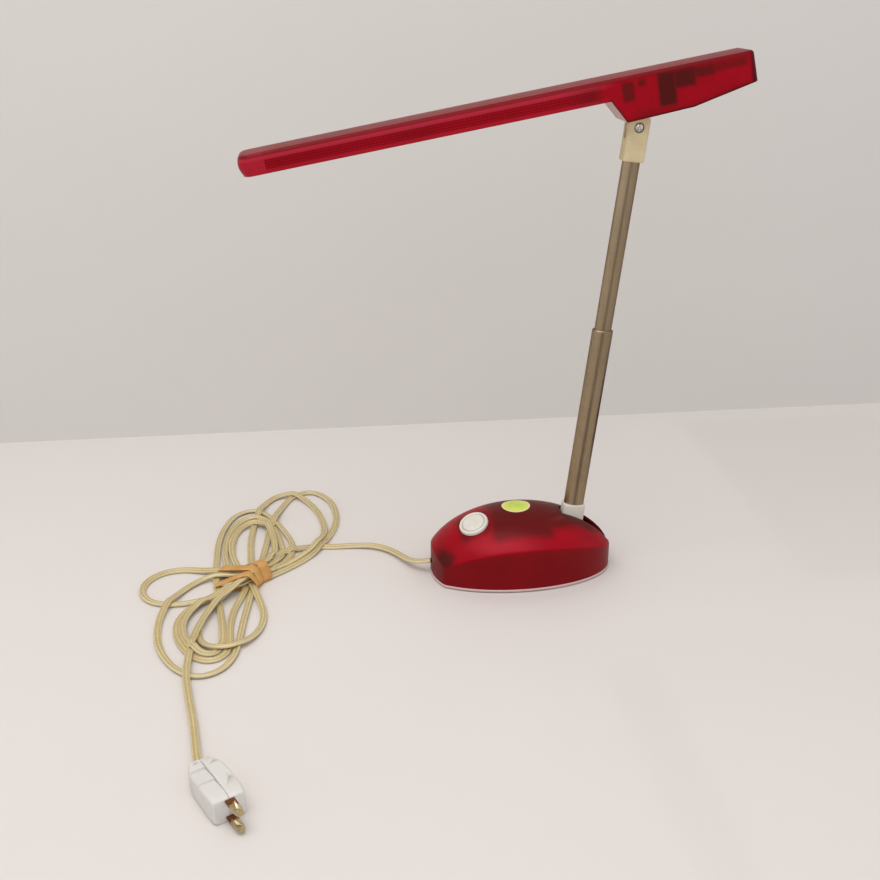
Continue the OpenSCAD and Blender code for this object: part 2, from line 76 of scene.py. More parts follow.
# ---------- places taken from the frame ----------
HINGE = Vector(JOINTS["base_tilt"]["pos_m"])
PIVOT = Vector(JOINTS["head_tilt"]["pos_m"])
ARM_AXIS = Vector(JOINTS["arm_telescope"]["axis"])
PRESS_AXIS = Vector(JOINTS["button_press"]["axis"])
BASE_LOW, BASE_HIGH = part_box("base_shell")
PLATE_LOW, PLATE_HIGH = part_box("base_plate")
BASE_LEN = BASE_HIGH.x - BASE_LOW.x
BASE_W = BASE_HIGH.y - BASE_LOW.y
ARM_LEN = (PIVOT - HINGE).length
HEAD_RISE = math.radians(10.5)

ARM = Matrix.Translation(HINGE) @ Matrix.Rotation(math.atan2(ARM_AXIS.x, ARM_AXIS.z), 4, "Y")
HEAD = Matrix.Translation(PIVOT) @ Matrix.Rotation(-HEAD_RISE, 4, "Y")


# ======================================================================
# Sizes and colours
# ======================================================================
def size(name, description, value):
    """A length in metres that the user may change."""
    return FloatProperty(name=name, description=description, default=value, unit="LENGTH", min=0.0, precision=5)


def tint(name, description, value):
    """A colour that the user may change, in linear light."""
    return FloatVectorProperty(
        name=name, description=description, default=value, subtype="COLOR", size=3, min=0.0, max=1.0
    )


class BaseSettings(PropertyGroup):
    """Sizes and colours of the base."""

    shell: tint("Shell", "Colour of the frosted red plastic", (0.40, 0.0015, 0.010))
    # Shade: colour of the painted shade on the red plastic, where the gear shows dark through it, on the side wall and
    # along the head's edges
    shade: tint("Shade", "Colour of what shows dark through the plastic", (0.055, 0.008, 0.005))
    # painted highlight: paler red bands along the head stand in for light caught by its rounded edges
    blush: tint("Blush", "Paler red of the bands along the head", (0.52, 0.030, 0.055))
    pale: tint("Plate", "Colour of the pale frosted plastic", (0.86, 0.62, 0.58))
    white: tint("White", "Colour of the switch and its bezel", (0.76, 0.73, 0.66))
    sticker: tint("Sticker", "Colour of the round paper sticker", (0.66, 0.74, 0.13))
    wall: size("Wall", "Wall of the shell", 2.2 * MM)
    crease: size("Crease", "Rounding between the dome and its sides", 0.9 * MM)


class ArmSettings(PropertyGroup):
    """Sizes and colours of the arm."""

    metal: tint("Tubes", "Colour of the two oval tubes", (0.50, 0.37, 0.23))
    collar: tint("Collar", "Colour of the lower knuckle", (0.66, 0.62, 0.54))
    cream: tint("Knuckle", "Colour of the upper knuckle", (0.70, 0.58, 0.35))
    wall: size("Tube wall", "Wall of both tubes", 0.8 * MM)


class HeadSettings(PropertyGroup):
    """Sizes and colours of the head."""

    wall: size("Wall", "Wall of the head's housing", 1.5 * MM)
    fillet: size("Fillet", "Rounding of the head's top edges", 2.6 * MM)
    prism: size("Prism pitch", "Distance between the prisms of the diffuser", 2.0 * MM)


class CordSettings(PropertyGroup):
    """Sizes and colours of the lead, its rubber band and its plug."""

    width: size("Width", "Width of the flat twin lead", 6.0 * MM)
    step: size("Step", "Distance between the rings of the lead", 2.5 * MM)
    jacket: tint("Jacket", "Colour of the clear jacket", (0.74, 0.63, 0.36))
    core: tint("Core", "Colour of the stranded cores seen through it", (0.50, 0.36, 0.14))
    band: tint("Band", "Colour of the rubber band", (0.66, 0.37, 0.11))
    plug: tint("Plug", "Colour of the plug", (0.74, 0.71, 0.67))


class StudioSettings(PropertyGroup):
    """Camera, floor and lights."""

    lens: FloatProperty(name="Lens", description="Focal length in millimetres", default=45.0, min=10.0)
    table: tint("Table", "Colour of the table top", (0.77, 0.72, 0.68))
    wall: tint("Wall", "Colour of the wall behind", (0.70, 0.67, 0.63))
    sky: FloatProperty(name="Room light", description="Strength of the light from all round", default=0.80)
    key: FloatProperty(name="Key light", description="Power of the large light above", default=13.0, unit="POWER")
    glow: FloatProperty(
        name="Sheen light", description="Power of the light that only shines back", default=2.4, unit="POWER"
    )


# ======================================================================
# Shared shader effects
# ======================================================================
def node(tree, kind, **settings):
    """A new node of that kind with its settings and, under inputs, its values or what is linked to it."""
    made = tree.nodes.new(f"ShaderNode{kind}")
    inputs = settings.pop("inputs", {})
    for key, value in settings.items():
        setattr(made, key, value)
    for key, value in inputs.items():
        if isinstance(value, bpy.types.NodeSocket):
            tree.links.new(value, made.inputs[key])
        else:
            made.inputs[key].default_value = value
    return made


def maths(tree, operation, *values):
    """The result of a math node."""
    return node(tree, "Math", operation=operation, inputs=dict(enumerate(values))).outputs[0]


def mixed(tree, factor, first, second):
    """The colour between two at that factor."""
    return node(
        tree, "Mix", data_type="RGBA", inputs={"Factor": factor, "A": first, "B": second}
    ).outputs["Result"]


def ramp(tree, value, low, high, start=0.0, end=1.0, **settings):
    """Value brought from low..high to start..end."""
    return node(tree, "MapRange", **settings, inputs={
        "Value": value, "From Min": low, "From Max": high, "To Min": start, "To Max": end,
    }).outputs["Result"]


def noise(tree, where, scale, detail, **extra):
    """Noise over the surface."""
    return node(
        tree, "TexNoise", inputs={"Vector": where, "Scale": scale, "Detail": detail, **extra}
    ).outputs["Fac"]


def surface_point(tree):
    """The shaded point in the piece's own space."""
    return node(tree, "TexCoord").outputs["Object"]


def attribute(tree, name):
    """A value kept with the vertices."""
    return node(tree, "Attribute", attribute_name=name).outputs["Fac"]


def shared_group(name, inputs, outputs, build):
    """A node group made once: build(tree, given) returns what goes to its outputs."""
    if name in bpy.data.node_groups:
        return bpy.data.node_groups[name]
    tree = bpy.data.node_groups.new(name, "ShaderNodeTree")
    for socket, (kind, value) in inputs.items():
        made = tree.interface.new_socket(socket, in_out="INPUT", socket_type=f"NodeSocket{kind}")
        made.default_value = value
    for socket, kind in outputs.items():
        tree.interface.new_socket(socket, in_out="OUTPUT", socket_type=f"NodeSocket{kind}")
    given, out = tree.nodes.new("NodeGroupInput"), tree.nodes.new("NodeGroupOutput")
    for socket, value in zip(outputs, build(tree, given.outputs)):
        tree.links.new(value, out.inputs[socket])
    return tree


def cloud_group():
    """Slow drift of tone over a moulded or painted surface, with a fine grain on top of it."""
    def build(tree, given):
        where = surface_point(tree)
        cloud = noise(tree, where, given["Cloud scale"], 4.0)
        grain = noise(tree, where, given["Grain scale"], 3.0)
        share = maths(tree, "MULTIPLY", ramp(tree, cloud, 0.35, 0.68), given["Amount"])
        colour = mixed(tree, share, given["Colour"], given["Shade"])
        return colour, ramp(tree, grain, 0.3, 0.7, given["Smooth"], given["Rough"]), grain

    return shared_group(
        "Cloud and grain",
        {
            "Colour": ("Color", (0.5, 0.5, 0.5, 1)), "Shade": ("Color", (0.4, 0.4, 0.4, 1)),
            "Cloud scale": ("Float", 60.0), "Grain scale": ("Float", 900.0), "Amount": ("Float", 0.5),
            "Smooth": ("Float", 0.3), "Rough": ("Float", 0.5),
        },
        {"Colour": "Color", "Roughness": "Float", "Height": "Float"},
        build,
    )


def dust_group():
    """Specks of dust and handling marks that lie on the upward faces."""
    def build(tree, given):
        where = surface_point(tree)
        fine = ramp(tree, noise(tree, where, 1400.0, 2.0), 0.60, 0.74)
        wide = ramp(tree, noise(tree, where, 35.0, 5.0), 0.42, 0.70)
        up = node(tree, "SeparateXYZ", inputs={"Vector": node(tree, "NewGeometry").outputs["Normal"]})
        lying = maths(tree, "MULTIPLY", maths(tree, "MULTIPLY", fine, wide), ramp(tree, up.outputs["Z"], 0.1, 0.9))
        mask = maths(tree, "MULTIPLY", lying, given["Amount"])
        return mixed(tree, mask, given["Colour"], given["Dust"]), mask

    return shared_group(
        "Dust specks",
        {
            "Colour": ("Color", (0.5, 0.5, 0.5, 1)), "Dust": ("Color", (0.6, 0.57, 0.52, 1)),
            "Amount": ("Float", 0.1),
        },
        {"Colour": "Color", "Mask": "Float"},
        build,
    )


def streak_group():
    """Drawing lines along a tube and faint stains across it."""
    def build(tree, given):
        where = surface_point(tree)
        drawn = node(tree, "Mapping", inputs={"Vector": where, "Scale": (900.0, 900.0, 6.0)})
        lines = noise(tree, drawn.outputs["Vector"], 1.0, 3.0)
        stain = noise(tree, where, 28.0, 6.0, Roughness=0.65)
        share = maths(tree, "MULTIPLY", ramp(tree, stain, 0.45, 0.75), given["Amount"])
        colour = mixed(tree, share, given["Metal"], given["Stain"])
        return colour, ramp(tree, lines, 0.3, 0.7, 0.24, 0.36), lines

    return shared_group(
        "Drawn metal",
        {
            "Metal": ("Color", (0.5, 0.45, 0.4, 1)), "Stain": ("Color", (0.3, 0.2, 0.1, 1)),
            "Amount": ("Float", 0.4),
        },
        {"Colour": "Color", "Roughness": "Float", "Height": "Float"},
        build,
    )


def prism_group():
    """Rows of small prisms seen through the plastic: a lattice of soft dots from two surface lengths."""
    def build(tree, given):
        waves = []
        for key in ("Along", "Level"):
            turn = maths(tree, "MULTIPLY", maths(tree, "DIVIDE", given[key], given["Pitch"]), math.pi)
            waves.append(maths(tree, "SINE", turn))
        return (ramp(tree, maths(tree, "MULTIPLY", *waves), -0.2, 0.45),)

    return shared_group(
        "Prism lattice",
        {"Along": ("Float", 0.0), "Level": ("Float", 0.0), "Pitch": ("Float", 2 * MM)},
        {"Dots": "Float"},
        build,
    )


# ======================================================================
# Finishes
# ======================================================================
def rgba(colour, level=1.0):
    """A colour at that level, with full alpha."""
    return (colour[0] * level, colour[1] * level, colour[2] * level, 1.0)


def blank(name):
    """A material with its node tree and Principled shader, which are None where it was made before."""
    made = bpy.data.materials.get(name)
    if made:
        return made, None, None
    made = bpy.data.materials.new(name)
    made.use_nodes = True
    return made, made.node_tree, made.node_tree.nodes["Principled BSDF"]


def clouded(tree, colour, shade, cloud=60.0, grain=900.0, amount=0.5, rough=(0.4, 0.5)):
    """The outputs of the cloud group with these values."""
    return node(tree, "Group", node_tree=cloud_group(), inputs={
        "Colour": rgba(colour), "Shade": rgba(shade), "Cloud scale": cloud, "Grain scale": grain,
        "Amount": amount, "Smooth": rough[0], "Rough": rough[1],
    }).outputs


def wire(tree, shader, colour, tones, relief=0.0, **plain):
    """Links colour, roughness and relief to the shader and sets its plain values."""
    tree.links.new(colour, shader.inputs["Base Color"])
    tree.links.new(tones["Roughness"], shader.inputs["Roughness"])
    if relief:
        bump = node(tree, "Bump", inputs={"Height": tones["Height"], "Distance": relief})
        tree.links.new(bump.outputs["Normal"], shader.inputs["Normal"])
    for key, value in plain.items():
        shader.inputs[key.replace("_", " ")].default_value = value


def finish(name, colour, shade, cloud=60.0, grain=900.0, amount=0.5, rough=(0.4, 0.5), relief=0.0, dust=0.0, **plain):
    """A plastic, paint or metal finish: clouded colour, grain, dust and the shader's own plain values."""
    made, tree, shader = blank(name)
    if tree is None:
        return made
    tones = clouded(tree, colour, shade, cloud, grain, amount, rough)
    shown = tones["Colour"]
    if dust:
        shown = node(
            tree, "Group", node_tree=dust_group(), inputs={"Colour": shown, "Amount": dust}
        ).outputs["Colour"]
    wire(tree, shader, shown, tones, relief, **plain)
    return made


FINISHES = {
    "Chrome": ((0.72, 0.69, 0.64), (0.35, 0.28, 0.2), dict(cloud=300.0, rough=(0.16, 0.3), Metallic=1.0)),
    "Bright steel": ((0.55, 0.54, 0.52), (0.36, 0.34, 0.3), dict(cloud=150.0, rough=(0.26, 0.42), Metallic=1.0)),
    "Ballast iron": ((0.040, 0.030, 0.024), (0.090, 0.055, 0.035), dict(
        cloud=70.0, grain=500.0, rough=(0.6, 0.85), relief=0.12 * MM)),
    "Dark plastic": ((0.020, 0.016, 0.014), (0.045, 0.032, 0.025), dict(
        cloud=90.0, rough=(0.42, 0.6), relief=0.02 * MM)),
    "Pad rubber": ((0.035, 0.033, 0.032), (0.075, 0.07, 0.065), dict(
        cloud=80.0, grain=2200.0, rough=(0.7, 0.9), relief=0.05 * MM, dust=0.4)),
    "Glide nylon": ((0.70, 0.66, 0.56), (0.56, 0.5, 0.4), dict(cloud=120.0, rough=(0.35, 0.5))),
    "Lamp glass": ((0.82, 0.80, 0.75), (0.70, 0.68, 0.62), dict(rough=(0.08, 0.14), Coat_Weight=0.5)),
    "Holder plastic": ((0.10, 0.012, 0.012), (0.06, 0.01, 0.008), dict(
        cloud=90.0, rough=(0.4, 0.55), relief=0.02 * MM)),
    "Reflector": ((0.66, 0.60, 0.56), (0.55, 0.48, 0.44), dict(cloud=40.0, rough=(0.35, 0.5))),
    "Board laminate": ((0.16, 0.10, 0.035), (0.10, 0.06, 0.02), dict(cloud=70.0, grain=1200.0, rough=(0.5, 0.7))),
    "Gear varnish": ((0.014, 0.010, 0.008), (0.035, 0.02, 0.014), dict(
        cloud=140.0, rough=(0.35, 0.6), relief=0.04 * MM)),
    "Capacitor film": ((0.070, 0.062, 0.014), (0.05, 0.04, 0.01), dict(
        cloud=140.0, rough=(0.3, 0.5), relief=0.03 * MM)),
    "Lead sheath": ((0.22, 0.21, 0.20), (0.16, 0.15, 0.14), dict(cloud=120.0, rough=(0.4, 0.55))),
    "Prism plastic": ((0.86, 0.45, 0.43), (0.80, 0.38, 0.36), dict(
        amount=0.3, rough=(0.10, 0.2), Transmission_Weight=0.45, IOR=1.49)),
    "Card black": ((0.02, 0.018, 0.016), (0.03, 0.026, 0.022), dict(rough=(0.8, 0.9))),
}
TINTED = {
    "Pale plastic": ("lamp_base", "pale", (0.92, 0.82, 0.8), dict(
        cloud=40.0, rough=(0.32, 0.45), relief=0.02 * MM, Transmission_Weight=0.25, IOR=1.45)),
    "White plastic": ("lamp_base", "white", (0.9, 0.86, 0.76), dict(
        cloud=120.0, rough=(0.34, 0.46), relief=0.015 * MM, dust=0.2)),
    "Collar plastic": ("lamp_arm", "collar", (0.88, 0.84, 0.76), dict(
        cloud=90.0, rough=(0.38, 0.5), relief=0.02 * MM, dust=0.2)),
    "Cream plastic": ("lamp_arm", "cream", (0.82, 0.74, 0.62), dict(
        cloud=110.0, rough=(0.36, 0.5), relief=0.02 * MM, dust=0.2)),
    "Band rubber": ("lamp_cord", "band", (0.86, 0.66, 0.42), dict(
        cloud=90.0, grain=1800.0, amount=0.7, rough=(0.45, 0.62), relief=0.04 * MM,
        Subsurface_Weight=0.25, Subsurface_Scale=1.5 * MM)),
    "Plug plastic": ("lamp_cord", "plug", (0.93, 0.92, 0.88), dict(
        cloud=80.0, rough=(0.42, 0.55), relief=0.02 * MM, dust=0.2)),
}


def material(name):
    """The finish of that name."""
    if name == "Red plastic":
        return red_plastic()
    if name in FINISHES:
        colour, shade, values = FINISHES[name]
    else:
        group, key, shares, values = TINTED[name]
        colour = getattr(getattr(bpy.context.scene, group), key)
        shade = [c * share for c, share in zip(colour, shares)]
    return finish(name, colour, shade, **values)


def red_plastic():
    """Frosted cherry-red plastic: painted shade where what lies close behind it shows dark, on the darker side wall
    and along the head's edges, painted highlight bands along the head, and the head's prisms as rows of dots.
    """
    made, tree, shader = blank("Red plastic")
    if tree is None:
        return made
    base = bpy.context.scene.lamp_base
    tones = clouded(tree, base.shell, rgba(base.shell, 0.72), 32.0, 1500.0, 0.6, (0.27, 0.34))
    # painted highlight: paler red bands along the head
    shown = mixed(tree, attribute(tree, "blush"), tones["Colour"], rgba(base.blush))
    lattice = node(tree, "Group", node_tree=prism_group(), inputs={
        "Along": attribute(tree, "along"), "Level": attribute(tree, "level"),
        "Pitch": bpy.context.scene.lamp_head.prism,
    })
    dots = maths(tree, "MULTIPLY", lattice.outputs["Dots"], attribute(tree, "prism"))
    shown = mixed(tree, dots, shown, rgba(base.shell, 0.42))
    # painted shade from the seen mark: the gear seen dark through the plastic and the darker side wall
    shown = mixed(tree, ramp(tree, attribute(tree, "seen"), 0.0, 1.08), shown, rgba(base.shade))
    # painted shade from the edge mark: dark lines along the head's lower lip, tail and top fillet
    shown = mixed(tree, attribute(tree, "edge"), shown, rgba(base.shade, 0.35))
    shown = node(tree, "Group", node_tree=dust_group(), inputs={
        "Colour": shown, "Dust": rgba((0.45, 0.12, 0.12)), "Amount": 0.2,
    }).outputs["Colour"]
    wire(
        tree, shader, shown, tones, 0.02 * MM, Transmission_Weight=0.12, Specular_IOR_Level=0.42,
        Specular_Tint=(1.0, 0.22, 0.26, 1.0), IOR=1.45,
    )
    return made


def tube_metal():
    """Satin champagne metal with drawing lines and faint tarnish, and a painted reflection along each tube: a darker
    streak and a darker edge.
    """
    made, tree, shader = blank("Tube metal")
    if tree is None:
        return made
    metal = bpy.context.scene.lamp_arm.metal
    across = attribute(tree, "across")
    # painted reflection: a darker streak and a darker edge along the tube, fixed to the tube and not to the light
    streak = ramp(tree, maths(tree, "ABSOLUTE", maths(tree, "ADD", across, 0.12)), 0.26, 0.04)
    painted_reflection = maths(tree, "MAXIMUM", streak, ramp(tree, across, 0.62, 0.98))
    drawn = node(tree, "Group", node_tree=streak_group(), inputs={
        "Metal": rgba(metal), "Stain": rgba(metal, 0.62), "Amount": 0.45,
    }).outputs
    shown = mixed(tree, maths(tree, "MULTIPLY", painted_reflection, 0.6), drawn["Colour"], rgba(metal, 0.36))
    wire(tree, shader, shown, drawn, 0.008 * MM, Metallic=1.0)
    return made


def sticker_paper():
    """Yellow-green paper with a paler printed rim and a mottled middle."""
    made, tree, shader = blank("Sticker paper")
    if tree is None:
        return made
    rim = attribute(tree, "rim")
    edge = ramp(tree, rim, 0.86, 0.92)
    middle = ramp(tree, rim, 0.75, 0.35)
    tones = clouded(
        tree, bpy.context.scene.lamp_base.sticker, (0.40, 0.60, 0.05), 170.0, 2500.0, middle, (0.5, 0.62)
    )
    wire(tree, shader, mixed(tree, edge, tones["Colour"], rgba((0.80, 0.76, 0.34))), tones)
    return made


def blade_brass():
    """Brass of the plug's blades, brown with tarnish near the plug."""
    made, tree, shader = blank("Blade brass")
    if tree is None:
        return made
    marks = noise(tree, surface_point(tree), 420.0, 5.0)
    tarnish = ramp(tree, maths(tree, "ADD", attribute(tree, "root"), marks), 0.95, 1.25)
    brass = mixed(tree, tarnish, rgba((0.75, 0.60, 0.34)), rgba((0.20, 0.08, 0.03)))
    wire(tree, shader, brass, {"Roughness": ramp(tree, tarnish, 0.0, 1.0, 0.28, 0.7)}, Metallic=0.9)
    return made


def cord_jacket():
    """Clear jacket over two stranded cores: golden cores, pale edges and a pale groove between them."""
    made, tree, shader = blank("Cord jacket")
    if tree is None:
        return made
    cord = bpy.context.scene.lamp_cord
    across = attribute(tree, "across")
    off = maths(tree, "SUBTRACT", maths(tree, "ABSOLUTE", across), 0.47)
    core = ramp(tree, maths(tree, "ABSOLUTE", off), 0.34, 0.12, interpolation_type="SMOOTHSTEP")
    twist = node(tree, "CombineXYZ", inputs={"X": across, "Y": attribute(tree, "along")})
    lay = node(tree, "TexWave", wave_type="BANDS", bands_direction="DIAGONAL", inputs={
        "Vector": twist.outputs["Vector"], "Scale": 2.2, "Distortion": 1.5, "Detail": 2.0,
    })
    strands = ramp(tree, lay.outputs["Fac"], 0.0, 1.0, 0.75, 1.0)
    tones = clouded(tree, cord.jacket, rgba(cord.jacket, 0.82), 45.0, 900.0, 0.6, (0.22, 0.34))
    shown = mixed(tree, maths(tree, "MULTIPLY", core, strands), tones["Colour"], rgba(cord.core))
    wire(
        tree, shader, shown, tones, Coat_Weight=0.45, Coat_Roughness=0.18,
        Subsurface_Weight=0.2, Subsurface_Scale=1.0 * MM,
    )
    return made


# ======================================================================
# Mesh helpers
# ======================================================================
def piece(name, points, faces, look, body, place=None, smooth=35.0):
    """A mesh object at the origin whose vertices are in the row frame, riding on a body."""
    mesh = bpy.data.meshes.new(name)
    if place is not None:
        points = [place @ Vector(p) for p in points]
    mesh.from_pydata([tuple(p) for p in points], [], faces)
    mesh.validate()
    mesh.materials.append(look)
    made = bpy.data.objects.new(name, mesh)
    bpy.context.collection.objects.link(made)
    soften(made, smooth)
    if body:
        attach(made, body)
    return made


def soften(made, angle):
    """Smooth shading, with edges sharper than the angle kept crisp, and every normal facing out."""
    work = bmesh.new()
    work.from_mesh(made.data)
    bmesh.ops.remove_doubles(work, verts=work.verts, dist=1e-6)
    bmesh.ops.recalc_face_normals(work, faces=work.faces)
    work.to_mesh(made.data)
    work.free()
    made.data.shade_smooth()
    made.data.set_sharp_from_angle(angle=math.radians(angle))


def loft(rings, closed=True, cap_start=True, cap_end=True, round_trip=False):
    """Points and faces of a skin through rings with the same number of points."""
    count = len(rings[0])
    points = [Vector(p) for ring in rings for p in ring]
    faces = []
    last = len(rings) if round_trip else len(rings) - 1
    across = count if closed else count - 1
    for i in range(last):
        a, b = i * count, (i + 1) % len(rings) * count
        for k in range(across):
            n = (k + 1) % count
            faces.append((a + k, a + n, b + n, b + k))
    if cap_start and not round_trip:
        faces.append(tuple(range(count - 1, -1, -1)))
    if cap_end and not round_trip:
        faces.append(tuple((len(rings) - 1) * count + k for k in range(count)))
    return points, faces


def lathe(profile, segments=64):
    """Points and faces of a profile of (radius, height) turned round Z. Points at radius 0 are its poles."""
    points, faces, rows = [], [], []
    for radius, height in profile:
        if radius < 1e-7:
            rows.append([len(points)] * segments)
            points.append(Vector((0, 0, height)))
            continue
        rows.append(range(len(points), len(points) + segments))
        for k in range(segments):
            angle = 2 * math.pi * k / segments
            points.append(Vector((radius * math.cos(angle), radius * math.sin(angle), height)))
    for lower, upper in zip(rows, rows[1:]):
        for k in range(segments):
            n = (k + 1) % segments
            corners = [lower[k], lower[n], upper[n], upper[k]]
            unique = list(dict.fromkeys(corners))
            if len(unique) > 2:
                faces.append(tuple(unique))
    return points, faces


def in_mm(pairs):
    """Pairs of millimetres as metres."""
    return [(a * MM, b * MM) for a, b in pairs]


def round_bar(radius, low, high, segments=64, top=None):
    """A round bar along Z between two heights, which narrows or widens to the radius top; all in millimetres."""
    return lathe(in_mm([(0, low), (radius, low), (top or radius, high), (0, high)]), segments)


def join(*parts):
    """Several (points, faces) as one."""
    points, faces = [], []
    for more, sides in parts:
        start = len(points)
        points += list(more)
        faces += [tuple(start + k for k in side) for side in sides]
    return points, faces


def moved(part, place):
    """The same (points, faces) at that place."""
    points, faces = part
    return [place @ Vector(p) for p in points], faces


def rounded_box(low, high, radius, steps=3):
    """A box with rounded edges all round, as points and faces."""
    work = bmesh.new()
    bmesh.ops.create_cube(work, size=1.0)
    span = Vector(high) - Vector(low)
    middle = (Vector(high) + Vector(low)) / 2
    for v in work.verts:
        v.co = middle + Vector((v.co.x * span.x, v.co.y * span.y, v.co.z * span.z))
    bmesh.ops.bevel(
        work, geom=list(work.edges), offset=radius, segments=steps, profile=0.5, affect="EDGES", clamp_overlap=True
    )
    points = [v.co.copy() for v in work.verts]
    faces = [tuple(v.index for v in f.verts) for f in work.faces]
    work.free()
    return points, faces


def carve(made, *cutters, operation="DIFFERENCE"):
    """Cuts each (points, faces) out of a piece, or joins it on, and keeps the result as its mesh."""
    for points, faces in cutters:
        mesh = bpy.data.meshes.new("cutter")
        mesh.from_pydata([tuple(p) for p in points], [], faces)
        tool = bpy.data.objects.new("cutter", mesh)
        bpy.context.collection.objects.link(tool)
        soften(tool, 30)
        modifier = made.modifiers.new("cut", "BOOLEAN")
        modifier.operation, modifier.object, modifier.solver = operation, tool, "EXACT"
        bpy.context.view_layer.update()
        seen = made.evaluated_get(bpy.context.evaluated_depsgraph_get())
        result = bpy.data.meshes.new_from_object(seen)
        made.modifiers.remove(modifier)
        old, made.data = made.data, result
        result.name = made.name
        bpy.data.objects.remove(tool)
        bpy.data.meshes.remove(mesh)
        bpy.data.meshes.remove(old)
    return made


def rounded_rect(width, depth, radius, height, steps=6):
    """Ring of a rectangle with rounded corners at that height, centred on the axis."""
    radius = min(radius, width / 2 - 1e-5, depth / 2 - 1e-5)
    ring = []
    for corner in range(4):
        sx, sy = ((1, 1), (-1, 1), (-1, -1), (1, -1))[corner]
        for k in range(steps + 1):
            angle = math.pi / 2 * (corner + k / steps)
            ring.append((
                sx * (width / 2 - radius) + radius * math.cos(angle),
                sy * (depth / 2 - radius) + radius * math.sin(angle),
                height,
            ))
    return ring


def oval(width, depth, height, count=64):
    """Ring of an ellipse at that height."""
    turn = [2 * math.pi * k / count for k in range(count)]
    return [(width / 2 * math.cos(t), depth / 2 * math.sin(t), height) for t in turn]


def smooth_curve(points, spacing):
    """Points that far apart along a smooth curve through the given ones."""
    given = np.array(points, float)
    ends = np.vstack([2 * given[0] - given[1], given, 2 * given[-1] - given[-2]])
    out = []
    for a, b, c, d in zip(ends, ends[1:], ends[2:], ends[3:]):
        ab, bc, cd = (max(np.linalg.norm(q - p) ** 0.5, 1e-6) for p, q in ((a, b), (b, c), (c, d)))
        m1 = (c - b) + bc * ((b - a) / ab - (c - a) / (ab + bc))
        m2 = (c - b) + bc * ((d - c) / cd - (d - b) / (bc + cd))
        for t in np.linspace(0, 1, 16, endpoint=False):
            h = (2 * t**3 - 3 * t**2 + 1, t**3 - 2 * t**2 + t, -2 * t**3 + 3 * t**2, t**3 - t**2)
            out.append(h[0] * b + h[1] * m1 + h[2] * c + h[3] * m2)
    out.append(given[-1])
    return evenly(np.array(out), spacing)


def evenly(line, spacing):
    """The same line with its points that far apart."""
    gaps = np.linalg.norm(np.diff(line, axis=0), axis=1)
    reach = np.concatenate([[0], np.cumsum(gaps)])
    stops = np.linspace(0, reach[-1], max(int(round(reach[-1] / spacing)), 2) + 1)
    return np.column_stack([np.interp(stops, reach, line[:, k]) for k in range(3)])


